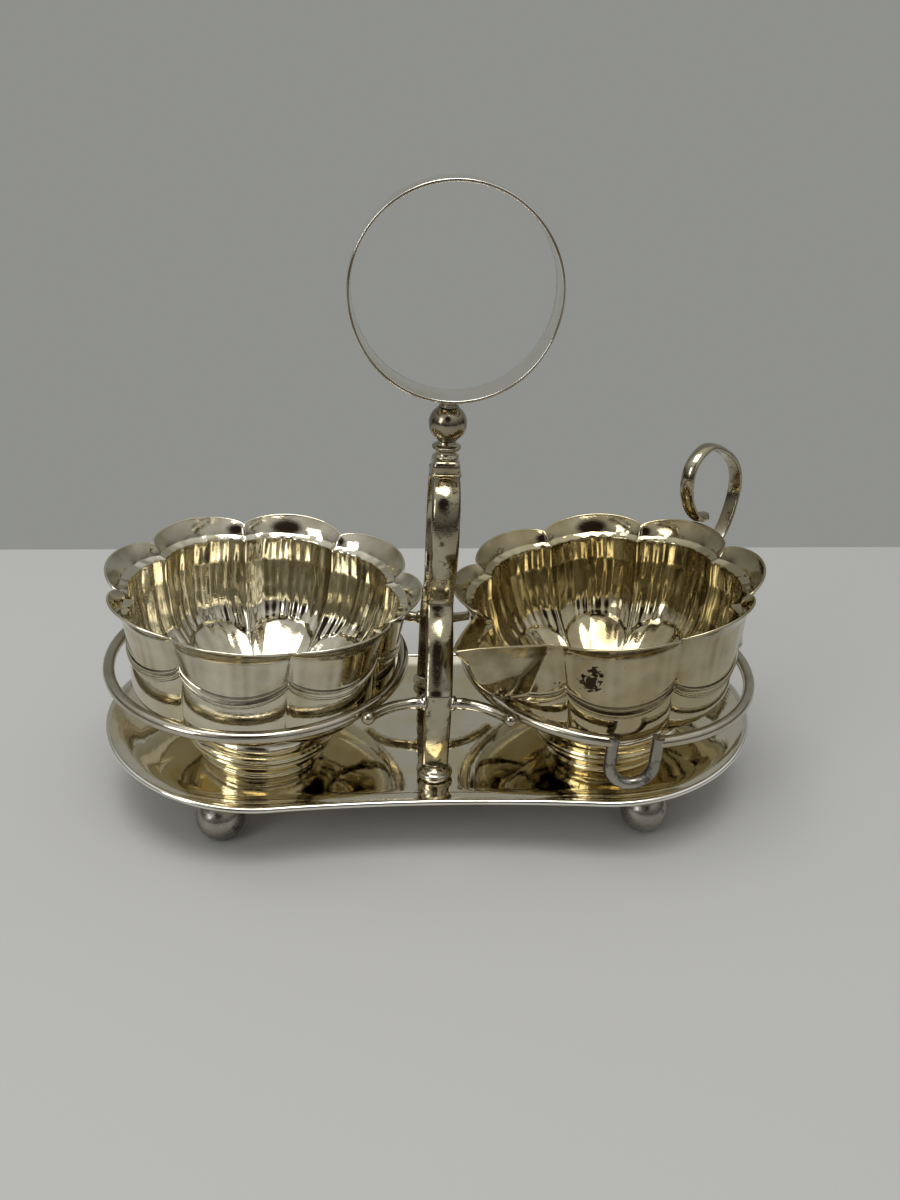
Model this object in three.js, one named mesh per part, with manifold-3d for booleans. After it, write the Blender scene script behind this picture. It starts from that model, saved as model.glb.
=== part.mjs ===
// A silver-plated sugar and cream stand: a tray on four balls, an upright arch with a ring handle,
// two wire gallery rings, a lobed sugar bowl and a cream jug with a beak and a strap loop.
// Millimetres, +Z up, the front is -Y. The origin is the middle of the object's box, on the table.
import * as THREE from "three";
import { mergeVertices } from "three/addons/utils/BufferGeometryUtils.js";
import Module from "manifold-3d";

const wasm = await Module();
wasm.setup();

const HALF_TURN = Math.PI;
const degrees = (angle) => (angle * Math.PI) / 180;

// Clearance between pieces that are soldered, screwed or stood against each other.
const JOINT_GAP = 0.3;

// Tray: one sheet whose ends bend up, with an upturned lip and a wire round its edge.
const TRAY_END_R = 50.5;
const TRAY_END_X = 59.5;
const TRAY_WAIST_IN = 5;
const TRAY_WAIST_Y = TRAY_END_R - TRAY_WAIST_IN;
const TRAY_SHEET = 0.9;
const TRAY_FLOOR_Z = 17;
const TRAY_BEND = 7.9;
const TRAY_LIP_RISE = 3.2;
const TRAY_LIP_WIDTH = 11;
const TRAY_OUTLINE_STEPS = 60;
const EDGE_WIRE_R = 0.85;

// Ball feet under the tray.
const FOOT_BALL_R = 7.8;
const FOOT_FLAT = 0.5;
const FOOT_NECK_R = 3.2;
const FOOT_BEYOND_END = 9.7;
const FOOT_INSIDE_EDGE = 16;
const FOOT_X = TRAY_END_X + FOOT_BEYOND_END;
const FOOT_Y = TRAY_END_R - FOOT_INSIDE_EDGE;

// Arch: two mirrored straps on round leg collars that are screwed through the tray.
const ARCH_LEAN = degrees(1.9);
const LEG_Y = 28;
const LEG_COLLAR_R = 5.75;
const LEG_COLLAR_H = 4;
const LEG_COLLAR_EDGE = 1.1;
const LEG_STUD_R = 1.6;
const LEG_STUD_LENGTH = 5.6;
const LEG_NUT_R = 3.8;
const LEG_NUT_H = 2.4;
const STUD_CLEARANCE = 0.35;
const STRAP_WIDTH = 8.7;
const STRAP_THICKNESS = 2.2;
const STRAP_EDGE = 0.45;
const LEDGE_Z = 46.5;
const PINCH_Y = 10.2;
const PINCH_Z = 72;
const LOOP_Y = 16.6;
const LOOP_Z = 93;
const ARCH_TOP_Z = 112.4;

// Turned and cast pieces above the arch.
const CAP_WIDTH = 8.8;
const CAP_DEPTH = 12;
const CAP_HEIGHT = 3.6;
const CAP_EDGE = 0.8;
const NECK_R = 3.4;
const NECK_H = 2;
const DISC_R = 4.5;
const DISC_H = 2.4;
const KNOP_R = 5.85;
const KNOP_CUT = 0.55;
const SADDLE_R = 2.6;
const SADDLE_H = 1.6;
const HANDLE_R = 30.4;
const HANDLE_BAND_WIDTH = 13;
const HANDLE_BAND_THICKNESS = 1.2;

// Gallery rings, the notch in the right one, and the arms that carry them.
const GALLERY_WIRE_R = 1.9;
const GALLERY_CLEARANCE = 1.3;
const GALLERY_X = 58.9;
const GALLERY_Z = 45.4;
const NOTCH_HALF_WIDTH = 6.9;
const NOTCH_DEPTH = 15.5;
const ARM_R = 1.7;
const ARM_COLLAR_R = 2.4;
const ARM_COLLAR_LENGTH = 1.3;
const ARM_TIP_R = 2.2;
const ARM_TIP_ANGLE = degrees(45);

// Vessels: both have eight lobes, a moulded step, a flared scalloped lip and a turned foot.
const LOBES = 8;
const STEPS_PER_LOBE = 6;
const VESSEL_WALL = 0.9;
const VESSEL_FOOT_R = 25.5;
const VESSEL_FOOT_H = 8;
const VESSEL_FOOT_SHEET = 1.5;
const VESSEL_FOOT_NECK_R = 20.4;
const VESSEL_BASE_R = 20;
const VESSEL_BELLY_R = 44.2;
const VESSEL_BELLY_Z = 27.5;
const VESSEL_LOBE_DEPTH = 2.2;
const VESSEL_STEP_OUT = 0.7;
const VESSEL_STEP_HEIGHT = 1.8;
const VESSEL_STEP_RISE = 6.5;
const VESSEL_WALL_R = 45.8;
const VESSEL_CREASE_R = 46.9;
const VESSEL_CREASE_Z = 50.2;
const VESSEL_LIP_R = 51.5;
const VESSEL_LIP_Z = 56;
const VESSEL_NOTCH_R = 46.2;
const VESSEL_NOTCH_DROP = 2.4;
const SUGAR_STEP_Z = 34;
const SUGAR_X = -58.7;
const SUGAR_Y = 0.8;
const SUGAR_TURN = degrees(-7);
const JUG_STEP_Z = 29;
const JUG_X = 61.4;
const JUG_Y = 0.8;
const JUG_TURN = degrees(40.5);
const BEAK_R = 69.5;
const BEAK_START_Z = 30;
const BEAK_TIP_RISE = 2;
const JUG_HANDLE_WIDTH = 5.2;
const JUG_HANDLE_THICKNESS = 2.4;
const JUG_HANDLE_DROP = 20;
const JUG_HANDLE_FOOT_Z = VESSEL_LIP_Z - JUG_HANDLE_DROP;

const GALLERY_R = VESSEL_BELLY_R + VESSEL_STEP_OUT + GALLERY_CLEARANCE + GALLERY_WIRE_R;

// The lower body's curve, as shares of its run from base to belly: [outwards, upwards].
const LOWER_CURVE = [
  [0, 0],
  [0.18, 0.09],
  [0.41, 0.21],
  [0.63, 0.37],
  [0.82, 0.57],
  [0.94, 0.79],
  [1, 1],
];

// The jug handle's middle line from its leaf on the lip: [out from the lip, up from its seat].
const JUG_HANDLE_LINE = [
  [5.5, -0.4],
  [0, 0.2],
  [-5.6, 6.1],
  [-7.8, 14.2],
  [-5.2, 22.1],
  [3.3, 26],
  [14.5, 21.4],
  [22.3, 14],
  [24.5, 6.5],
  [22.3, -2],
  [16.1, -11.5],
];

const brightPlate = new THREE.MeshStandardMaterial({ color: 0xd9d6cb, roughness: 0.18, metalness: 1 });
const wornPlate = new THREE.MeshStandardMaterial({ color: 0xc9c2ad, roughness: 0.28, metalness: 1 });
const agedPlate = new THREE.MeshStandardMaterial({ color: 0x8d8678, roughness: 0.35, metalness: 1 });
const vesselPlate = new THREE.MeshStandardMaterial({ color: 0xd2cdbb, roughness: 0.2, metalness: 1 });
const nutBrass = new THREE.MeshStandardMaterial({ color: 0xa08a5a, roughness: 0.45, metalness: 1 });

function place(name, geometry, material, parent) {
  const mesh = new THREE.Mesh(geometry, material);
  mesh.name = name;
  parent.add(mesh);
  return mesh;
}

// A solid of revolution about +Z from [radius, height] pairs, listed from the bottom upwards.
function turned(profile, segments) {
  const points = profile.map(([radius, height]) => new THREE.Vector2(radius, height));
  return new THREE.LatheGeometry(points, segments).rotateX(HALF_TURN / 2);
}

// Heights and radii of a ball between two levels measured from its centre.
function ballProfile(radius, centreZ, low, high, steps) {
  const from = Math.asin(low / radius);
  const to = Math.asin(high / radius);
  return Array.from({ length: steps + 1 }, (_, i) => {
    const angle = from + ((to - from) * i) / steps;
    return [radius * Math.cos(angle), centreZ + radius * Math.sin(angle)];
  });
}

function toSolid(geometry) {
  const bare = geometry.clone();
  bare.deleteAttribute("normal");
  bare.deleteAttribute("uv");
  const merged = mergeVertices(bare);
  const vertProperties = Float32Array.from(merged.attributes.position.array);
  const triVerts = Uint32Array.from(merged.index.array);
  return new wasm.Manifold(new wasm.Mesh({ numProp: 3, vertProperties, triVerts }));
}

function toGeometry(solid) {
  const mesh = solid.getMesh();
  const geometry = new THREE.BufferGeometry();
  geometry.setAttribute("position", new THREE.BufferAttribute(mesh.vertProperties, 3));
  geometry.setIndex(new THREE.BufferAttribute(mesh.triVerts, 1));
  geometry.computeVertexNormals();
  return geometry;
}

// A round rod along a curve, with flat ends.
function rod(curve, radius, steps) {
  const section = new THREE.Shape().absarc(0, 0, radius, 0, 2 * HALF_TURN);
  return new THREE.ExtrudeGeometry(section, { extrudePath: curve, steps, curveSegments: 5 });
}

// A flat strap bent in one plane: [across, up] points of its middle line, extruded by its width.
function bentStrap(points, samples, thickness, width) {
  const line = new THREE.CatmullRomCurve3(
    points.map(([across, up]) => new THREE.Vector3(across, up, 0)),
    false,
    "centripetal",
  );
  const front = [];
  const back = [];
  for (let i = 0; i <= samples; i++) {
    const point = line.getPointAt(i / samples);
    const tangent = line.getTangentAt(i / samples);
    const side = new THREE.Vector2(-tangent.y, tangent.x).multiplyScalar(thickness / 2);
    front.push(new THREE.Vector2(point.x + side.x, point.y + side.y));
    back.push(new THREE.Vector2(point.x - side.x, point.y - side.y));
  }
  const outline = new THREE.Shape(front.concat(back.reverse()));
  const geometry = new THREE.ExtrudeGeometry(outline, {
    depth: width - 2 * STRAP_EDGE,
    bevelThickness: STRAP_EDGE,
    bevelSize: STRAP_EDGE,
    bevelOffset: -STRAP_EDGE,
    bevelSegments: 1,
  });
  return geometry.translate(0, 0, STRAP_EDGE - width / 2);
}

const object = new THREE.Group();

// Tray outline: two round ends joined by long hollow arcs that touch them.
const trayHalfLength = TRAY_END_X + TRAY_END_R;
const waistArcR =
  (TRAY_END_X ** 2 + TRAY_WAIST_Y ** 2 - TRAY_END_R ** 2) / (2 * (TRAY_END_R - TRAY_WAIST_Y));
const waistArcY = TRAY_WAIST_Y + waistArcR;

function trayOutline() {
  const meet = Math.atan2(waistArcY, -TRAY_END_X);
  const outline = new THREE.Path();
  outline.absarc(TRAY_END_X, 0, TRAY_END_R, 0, meet);
  outline.absarc(0, waistArcY, waistArcR, meet - HALF_TURN, -meet, true);
  outline.absarc(-TRAY_END_X, 0, TRAY_END_R, HALF_TURN - meet, HALF_TURN + meet);
  outline.absarc(0, -waistArcY, waistArcR, meet, HALF_TURN - meet, true);
  outline.absarc(TRAY_END_X, 0, TRAY_END_R, -meet, 0);
  return outline.getSpacedPoints(TRAY_OUTLINE_STEPS);
}

const outlinePoints = trayOutline();

// A point of the outline moved inwards, square to the edge.
function insetPoint(index, inset) {
  const count = TRAY_OUTLINE_STEPS;
  const before = outlinePoints[(index + count - 1) % count];
  const after = outlinePoints[(index + 1) % count];
  const along = after.clone().sub(before).normalize();
  const point = outlinePoints[index % count];
  return new THREE.Vector2(point.x - along.y * inset, point.y + along.x * inset);
}

const trayTop = (x) => TRAY_FLOOR_Z + TRAY_BEND * (x / trayHalfLength) ** 2;
const traySlope = (x) => Math.atan((2 * TRAY_BEND * x) / trayHalfLength ** 2);
const lipRise = (inset) => TRAY_LIP_RISE * Math.max(0, 1 - inset / TRAY_LIP_WIDTH) ** 2;

// Rows of the sheet run from the middle out along its top and back in along its underside.
function traySheet() {
  const edgeInset = 2 * EDGE_WIRE_R + JOINT_GAP;
  const lipMiddle = (TRAY_LIP_WIDTH + edgeInset) / 2;
  const floorRows = [0, 0.25, 0.5, 0.75, 1].map((scale) => ({ scale, inset: TRAY_LIP_WIDTH }));
  const lipRows = [lipMiddle, edgeInset].map((inset) => ({ scale: 1, inset }));
  const topRows = floorRows.concat(lipRows);
  const rows = topRows.map((row) => ({ ...row, drop: 0 }));
  rows.push(...topRows.reverse().map((row) => ({ ...row, drop: TRAY_SHEET })));
  const blank = rows.map((_, i) => new THREE.Vector2(i, 0));
  const geometry = new THREE.LatheGeometry(blank, TRAY_OUTLINE_STEPS);
  const position = geometry.attributes.position;
  for (let i = 0; i <= TRAY_OUTLINE_STEPS; i++) {
    rows.forEach((row, j) => {
      const point = insetPoint(i, row.inset).multiplyScalar(row.scale);
      const z = trayTop(point.x) + lipRise(row.inset) - row.drop;
      position.setXYZ(i * rows.length + j, point.x, point.y, z);
    });
  }
  return flipped(geometry);
}

// Turns every face of a geometry round.
function flipped(geometry) {
  const index = geometry.index.array;
  for (let i = 0; i < index.length; i += 3) {
    const first = index[i];
    index[i] = index[i + 1];
    index[i + 1] = first;
  }
  geometry.computeVertexNormals();
  return geometry;
}

function drillTray(sheet) {
  let solid = toSolid(sheet);
  for (const side of [-1, 1]) {
    const drill = new THREE.CylinderGeometry(
      LEG_STUD_R + STUD_CLEARANCE,
      LEG_STUD_R + STUD_CLEARANCE,
      4 * TRAY_SHEET,
      16,
    );
    drill.rotateX(HALF_TURN / 2).translate(0, side * LEG_Y, TRAY_FLOOR_Z);
    solid = solid.subtract(toSolid(drill));
  }
  return toGeometry(solid);
}

// The edge wire: a ring of round section laid along the outline.
function edgeWire() {
  const sides = 6;
  const geometry = new THREE.TorusGeometry(1, EDGE_WIRE_R, sides, TRAY_OUTLINE_STEPS);
  const position = geometry.attributes.position;
  for (let j = 0; j <= sides; j++) {
    const angle = (2 * HALF_TURN * j) / sides;
    for (let i = 0; i <= TRAY_OUTLINE_STEPS; i++) {
      const point = insetPoint(i, EDGE_WIRE_R * (1 - Math.cos(angle)));
      const middle = insetPoint(i, EDGE_WIRE_R);
      const z = trayTop(middle.x) + lipRise(EDGE_WIRE_R) - TRAY_SHEET / 2;
      const row = j * (TRAY_OUTLINE_STEPS + 1);
      position.setXYZ(row + i, point.x, point.y, z + EDGE_WIRE_R * Math.sin(angle));
    }
  }
  geometry.computeVertexNormals();
  return geometry;
}

// A ball foot, cut flat where it stands, with a neck that reaches up to the sheet.
function footBall() {
  const centreZ = FOOT_BALL_R - FOOT_FLAT;
  const neckStart = Math.sqrt(FOOT_BALL_R ** 2 - FOOT_NECK_R ** 2);
  const slope = Math.tan(traySlope(FOOT_X)) * FOOT_NECK_R;
  const neckTop = trayTop(FOOT_X) - TRAY_SHEET - slope - JOINT_GAP;
  const ball = ballProfile(FOOT_BALL_R, centreZ, -centreZ, neckStart, 8);
  return turned([[0, 0], ...ball, [FOOT_NECK_R, neckTop], [0, neckTop]], 16);
}

// A leg collar with the threaded stud that passes down through the tray.
function legCollar() {
  const shoulder = LEG_COLLAR_R - LEG_COLLAR_EDGE;
  return turned(
    [
      [0, -LEG_STUD_LENGTH],
      [LEG_STUD_R, -LEG_STUD_LENGTH],
      [LEG_STUD_R, 0],
      [shoulder, 0],
      [LEG_COLLAR_R, LEG_COLLAR_H * 0.3],
      [LEG_COLLAR_R, LEG_COLLAR_H * 0.6],
      [shoulder, LEG_COLLAR_H],
      [0, LEG_COLLAR_H],
    ],
    20,
  );
}

function legNut() {
  const blank = new THREE.CylinderGeometry(LEG_NUT_R, LEG_NUT_R, LEG_NUT_H, 6);
  const bore = new THREE.CylinderGeometry(
    LEG_STUD_R + STUD_CLEARANCE,
    LEG_STUD_R + STUD_CLEARANCE,
    2 * LEG_NUT_H,
    16,
  );
  return toGeometry(toSolid(blank).subtract(toSolid(bore))).rotateX(HALF_TURN / 2);
}

// One strap of the arch, from its collar up to the cap. Side is -1 at the front, 1 at the rear.
const collarTop = TRAY_FLOOR_Z + JOINT_GAP + LEG_COLLAR_H;
const strapFootZ = collarTop + JOINT_GAP + (STRAP_WIDTH / 2) * Math.sin(ARCH_LEAN);

function archStrap(side) {
  const line = [
    [LEG_Y, strapFootZ],
    [LEG_Y, (strapFootZ + LEDGE_Z) / 2],
    [LEG_Y, LEDGE_Z],
    [LEG_Y - 2.6, LEDGE_Z + 6],
    [LEG_Y - 9, LEDGE_Z + 15.5],
    [PINCH_Y + 2.6, PINCH_Z - 4.2],
    [PINCH_Y, PINCH_Z],
    [PINCH_Y + 3, PINCH_Z + 7.5],
    [LOOP_Y, LOOP_Z],
    [LOOP_Y - 3.6, ARCH_TOP_Z - 5.4],
    [LOOP_Y - 9, ARCH_TOP_Z - 1],
    [STRAP_THICKNESS / 2, ARCH_TOP_Z],
  ];
  const geometry = bentStrap(line, 34, STRAP_THICKNESS, STRAP_WIDTH);
  const turn = new THREE.Matrix4().makeBasis(
    new THREE.Vector3(0, side, 0),
    new THREE.Vector3(0, 0, 1),
    new THREE.Vector3(side, 0, 0),
  );
  return geometry.applyMatrix4(turn);
}

// The cap: a cushion-edged block across the two strap ends.
function archCap() {
  const halfX = CAP_WIDTH / 2 - CAP_EDGE;
  const halfY = CAP_DEPTH / 2 - CAP_EDGE;
  const plan = new THREE.Shape([
    new THREE.Vector2(-halfX, -halfY),
    new THREE.Vector2(halfX, -halfY),
    new THREE.Vector2(halfX, halfY),
    new THREE.Vector2(-halfX, halfY),
  ]);
  return new THREE.ExtrudeGeometry(plan, {
    depth: CAP_HEIGHT - 2 * CAP_EDGE,
    bevelThickness: CAP_EDGE,
    bevelSize: CAP_EDGE,
    bevelSegments: 2,
  }).translate(0, 0, CAP_EDGE);
}

function neckCollar() {
  const discLow = NECK_H;
  const discTop = NECK_H + DISC_H;
  return turned(
    [
      [0, 0],
      [NECK_R + 0.6, 0],
      [NECK_R, NECK_H * 0.35],
      [NECK_R, discLow],
      [DISC_R - 0.5, discLow],
      [DISC_R, discLow + DISC_H * 0.3],
      [DISC_R, discLow + DISC_H * 0.6],
      [DISC_R - 1.2, discTop],
      [0, discTop],
    ],
    20,
  );
}

function ballKnop() {
  const cut = KNOP_R - KNOP_CUT;
  const ball = ballProfile(KNOP_R, 0, -cut, cut, 10);
  return turned([[0, -cut], ...ball, [0, cut]], 20);
}

function handleSaddle() {
  return turned(
    [
      [0, 0],
      [SADDLE_R, 0],
      [SADDLE_R * 0.75, SADDLE_H / 2],
      [SADDLE_R, SADDLE_H],
      [0, SADDLE_H],
    ],
    16,
  );
}

// The ring handle: flat inside, crowned outside, turned about the Y axis.
function ringHandle() {
  const inner = HANDLE_R - HANDLE_BAND_THICKNESS / 2;
  const edge = HANDLE_R + HANDLE_BAND_THICKNESS * 0.1;
  const crown = HANDLE_R + HANDLE_BAND_THICKNESS / 2;
  const half = HANDLE_BAND_WIDTH / 2;
  const section = [
    [inner, -half],
    [edge, -half],
    [crown, -half * 0.45],
    [crown, half * 0.45],
    [edge, half],
    [inner, half],
    [inner, -half],
  ].map(([radius, along]) => new THREE.Vector2(radius, along));
  return new THREE.LatheGeometry(section, 56);
}

const galleryRing = () => new THREE.TorusGeometry(GALLERY_R, GALLERY_WIRE_R, 8, 56);

// The right ring is a full ring with a piece sawn out where the notch loop is let in.
function openGalleryRing() {
  const sawHalf = NOTCH_HALF_WIDTH + GALLERY_WIRE_R + JOINT_GAP;
  const saw = new THREE.BoxGeometry(2 * sawHalf, GALLERY_R, 4 * GALLERY_WIRE_R);
  saw.translate(0, -GALLERY_R, 0);
  return toGeometry(toSolid(galleryRing()).subtract(toSolid(saw)));
}

// The middle line of the notch loop: down one leg, round the bottom, up the other.
class NotchLine extends THREE.Curve {
  getPoint(t, target = new THREE.Vector3()) {
    const leg = NOTCH_DEPTH + GALLERY_WIRE_R - NOTCH_HALF_WIDTH;
    const bend = HALF_TURN * NOTCH_HALF_WIDTH;
    const run = t * (2 * leg + bend);
    if (run < leg) return target.set(-NOTCH_HALF_WIDTH, 0, GALLERY_WIRE_R - run);
    if (run > leg + bend) {
      return target.set(NOTCH_HALF_WIDTH, 0, GALLERY_WIRE_R - leg + (run - leg - bend));
    }
    const angle = HALF_TURN + (run - leg) / NOTCH_HALF_WIDTH;
    const down = NOTCH_HALF_WIDTH * Math.sin(angle);
    return target.set(NOTCH_HALF_WIDTH * Math.cos(angle), 0, GALLERY_WIRE_R - leg + down);
  }
}

// A bracket arm from the strap's side to the ring: collar, bent rod and ball tip in one piece.
function bracketArm(sideX, sideY) {
  const start = STRAP_WIDTH / 2 + JOINT_GAP;
  const reach = GALLERY_R + GALLERY_WIRE_R + ARM_TIP_R + JOINT_GAP;
  const tip = new THREE.Vector3(
    GALLERY_X - reach * Math.cos(ARM_TIP_ANGLE),
    reach * Math.sin(ARM_TIP_ANGLE),
    0,
  );
  const bend = new THREE.Vector3((start + tip.x) / 2 + 1.5, LEG_Y, 0);
  const line = new THREE.QuadraticBezierCurve3(new THREE.Vector3(start, LEG_Y, 0), bend, tip);
  const collar = new THREE.CylinderGeometry(ARM_COLLAR_R, ARM_COLLAR_R, ARM_COLLAR_LENGTH, 10);
  collar.rotateZ(HALF_TURN / 2).translate(start + ARM_COLLAR_LENGTH / 2, LEG_Y, 0);
  const ball = new THREE.SphereGeometry(ARM_TIP_R, 10, 8).translate(tip.x, tip.y, 0);
  let solid = toSolid(rod(line, ARM_R, 8)).add(toSolid(collar)).add(toSolid(ball));
  if (sideX < 0) solid = solid.mirror([1, 0, 0]);
  if (sideY < 0) solid = solid.mirror([0, 1, 0]);
  return toGeometry(solid);
}

// Rows of a vessel's outer or inner face, from the axis out and up to the lip. Each row has the
// radius and height at the middle of a lobe, and how far the cusps between lobes lie in and up.
const vesselBottom = VESSEL_FOOT_H + JOINT_GAP;

function vesselRows(stepZ, wall) {
  const baseZ = vesselBottom + wall;
  const bellyR = VESSEL_BELLY_R - wall;
  const rows = [{ r: 0, z: baseZ, inset: 0, rise: 0 }];
  for (const [out, up] of LOWER_CURVE) {
    rows.push({
      r: VESSEL_BASE_R + (bellyR - VESSEL_BASE_R) * out,
      z: baseZ + (VESSEL_BELLY_Z - baseZ) * up,
      inset: VESSEL_LOBE_DEPTH * out,
      rise: VESSEL_STEP_RISE * up ** 2,
    });
  }
  rows.push({ r: bellyR, z: stepZ, inset: VESSEL_LOBE_DEPTH, rise: VESSEL_STEP_RISE });
  const wallR = VESSEL_WALL_R - wall;
  const stepOut = wall > 0 ? 0 : VESSEL_STEP_OUT;
  rows.push({
    r: bellyR + stepOut,
    z: stepZ + VESSEL_STEP_HEIGHT,
    inset: VESSEL_LOBE_DEPTH,
    rise: VESSEL_STEP_RISE,
  });
  rows.push({
    r: wallR,
    z: (stepZ + VESSEL_CREASE_Z) / 2,
    inset: VESSEL_LOBE_DEPTH,
    rise: VESSEL_STEP_RISE / 2,
  });
  rows.push({ r: VESSEL_CREASE_R - wall, z: VESSEL_CREASE_Z, inset: VESSEL_LOBE_DEPTH, rise: 0 });
  const lipIn = wall * 0.8;
  const lipUp = wall * 0.6;
  const flareR = (VESSEL_CREASE_R + VESSEL_LIP_R) / 2 - lipIn;
  rows.push({
    r: flareR,
    z: (VESSEL_CREASE_Z + VESSEL_LIP_Z) / 2 + lipUp,
    inset: (VESSEL_LOBE_DEPTH + VESSEL_LIP_R - VESSEL_NOTCH_R) / 2,
    rise: -VESSEL_NOTCH_DROP / 2,
  });
  rows.push({
    r: VESSEL_LIP_R - lipIn,
    z: VESSEL_LIP_Z + lipUp,
    inset: VESSEL_LIP_R - VESSEL_NOTCH_R,
    rise: -VESSEL_NOTCH_DROP,
  });
  return rows;
}

// The beak's plan: straight sides from the two cusps of its lobe to the tip. Away is the angle
// from the beak's middle, and the inner face has a shorter tip so that its walls keep thickness.
function beakRadius(away, wall) {
  const half = HALF_TURN / LOBES;
  const root = VESSEL_NOTCH_R - wall;
  const tip = BEAK_R - 2.5 * wall;
  return (tip * root * Math.sin(half)) / (tip * Math.sin(away) + root * Math.sin(half - away));
}

// How much of its reach the beak has at a share of its height: a full keel, then a flared lip.
function beakPull(part) {
  return 0.8 * Math.sin((HALF_TURN / 2) * part) + 0.2 * part ** 6;
}

function vesselBody(stepZ, hasBeak) {
  const outer = vesselRows(stepZ, 0).map((row) => ({ ...row, wall: 0 }));
  const inner = vesselRows(stepZ, VESSEL_WALL).map((row) => ({ ...row, wall: VESSEL_WALL }));
  const rows = outer.concat(inner.reverse());
  const segments = LOBES * STEPS_PER_LOBE;
  const blank = rows.map((_, i) => new THREE.Vector2(i, 0));
  const geometry = new THREE.LatheGeometry(blank, segments);
  const position = geometry.attributes.position;
  for (let i = 0; i <= segments; i++) {
    const angle = (2 * HALF_TURN * i) / segments;
    const bulge = Math.abs(Math.cos((LOBES / 2) * angle)) ** 0.8;
    const away = Math.abs(angle - HALF_TURN);
    rows.forEach((row, j) => {
      let radius = row.r - row.inset * (1 - bulge);
      let z = row.z + row.rise * (1 - bulge);
      if (hasBeak && away < HALF_TURN / LOBES && row.z > BEAK_START_Z) {
        const part = Math.min(1, (row.z - BEAK_START_Z) / (VESSEL_LIP_Z - BEAK_START_Z));
        const reach = Math.max(0, beakRadius(away, row.wall) - radius) * beakPull(part);
        radius += reach;
        z += BEAK_TIP_RISE * part ** 4 * (reach / (BEAK_R - VESSEL_LIP_R));
      }
      position.setXYZ(i * rows.length + j, radius * Math.cos(angle), radius * Math.sin(angle), z);
    });
  }
  geometry.computeVertexNormals();
  return geometry;
}

// The turned foot: a hollow cavetto ring under the vessel's flat bottom.
function vesselFoot() {
  const outer = [
    [VESSEL_FOOT_R, 0],
    [VESSEL_FOOT_R, 1],
    [VESSEL_FOOT_R - 2.2, 1.9],
    [VESSEL_FOOT_NECK_R + 0.9, VESSEL_FOOT_H / 2],
    [VESSEL_FOOT_NECK_R, VESSEL_FOOT_H - 1.2],
    [VESSEL_FOOT_NECK_R + 0.6, VESSEL_FOOT_H],
  ];
  const inner = outer.map(([radius, height]) => [radius - VESSEL_FOOT_SHEET, height]).reverse();
  return turned([...outer, ...inner, outer[0]], 40);
}

// The jug's handle: from a leaf end on the lip, over the loop and down to the wall.
function jugHandle() {
  const lipTop = VESSEL_LIP_Z + JUG_HANDLE_THICKNESS / 2 + JOINT_GAP + VESSEL_WALL;
  const wallEnd = VESSEL_WALL_R + JOINT_GAP + JUG_HANDLE_THICKNESS / 4;
  const line = [
    ...JUG_HANDLE_LINE.map(([out, up]) => [VESSEL_LIP_R + out, lipTop + up]),
    [wallEnd + 8, JUG_HANDLE_FOOT_Z + 4.6],
    [wallEnd, JUG_HANDLE_FOOT_Z],
  ];
  const geometry = bentStrap(line, 36, JUG_HANDLE_THICKNESS, JUG_HANDLE_WIDTH);
  return geometry.rotateX(HALF_TURN / 2);
}

// A vessel stands on the bent sheet, tilted as the sheet is there, and turned on its own foot.
function standVessel(x, y, turn) {
  const seat = new THREE.Group();
  const bow = (TRAY_BEND * VESSEL_FOOT_R ** 2) / trayHalfLength ** 2;
  seat.position.set(x, y, trayTop(x) + bow + JOINT_GAP);
  seat.rotation.y = -traySlope(x);
  const vessel = new THREE.Group();
  vessel.rotation.z = turn;
  seat.add(vessel);
  object.add(seat);
  return vessel;
}

place("tray_plate", drillTray(traySheet()), brightPlate, object);
place("tray_edge_wire", edgeWire(), brightPlate, object);

for (const [endName, endSide] of [["left", -1], ["right", 1]]) {
  for (const [depthName, depthSide] of [["front", -1], ["rear", 1]]) {
    const foot = place(`${depthName}_${endName}_foot_ball`, footBall(), agedPlate, object);
    foot.position.set(endSide * FOOT_X, depthSide * FOOT_Y, 0);
  }
}

// Everything above the leg collars leans a little to the right, about the collars' tops.
const upright = new THREE.Group();
upright.position.z = collarTop;
upright.rotation.y = ARCH_LEAN;
const frame = new THREE.Group();
frame.position.z = -collarTop;
upright.add(frame);
object.add(upright);

for (const [name, side] of [["front", -1], ["rear", 1]]) {
  const collar = place(`${name}_leg_collar`, legCollar(), wornPlate, object);
  collar.position.set(0, side * LEG_Y, TRAY_FLOOR_Z + JOINT_GAP);
  const nut = place(`${name}_leg_nut`, legNut(), nutBrass, object);
  nut.position.set(0, side * LEG_Y, TRAY_FLOOR_Z - TRAY_SHEET - JOINT_GAP - LEG_NUT_H / 2);
  place(`${name}_arch_strap`, archStrap(side), brightPlate, frame);
}

const capZ = ARCH_TOP_Z + STRAP_THICKNESS / 2 + JOINT_GAP;
const neckZ = capZ + CAP_HEIGHT + JOINT_GAP;
const knopZ = neckZ + NECK_H + DISC_H + JOINT_GAP + KNOP_R - KNOP_CUT;
const saddleZ = knopZ + KNOP_R - KNOP_CUT + JOINT_GAP;
const handleZ = saddleZ + SADDLE_H + JOINT_GAP + HANDLE_R + HANDLE_BAND_THICKNESS / 2;
place("arch_cap", archCap(), wornPlate, frame).position.z = capZ;
place("neck_collar", neckCollar(), wornPlate, frame).position.z = neckZ;
place("ball_knop", ballKnop(), agedPlate, frame).position.z = knopZ;
place("handle_saddle", handleSaddle(), agedPlate, frame).position.z = saddleZ;
place("ring_handle", ringHandle(), brightPlate, frame).position.z = handleZ;

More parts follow.
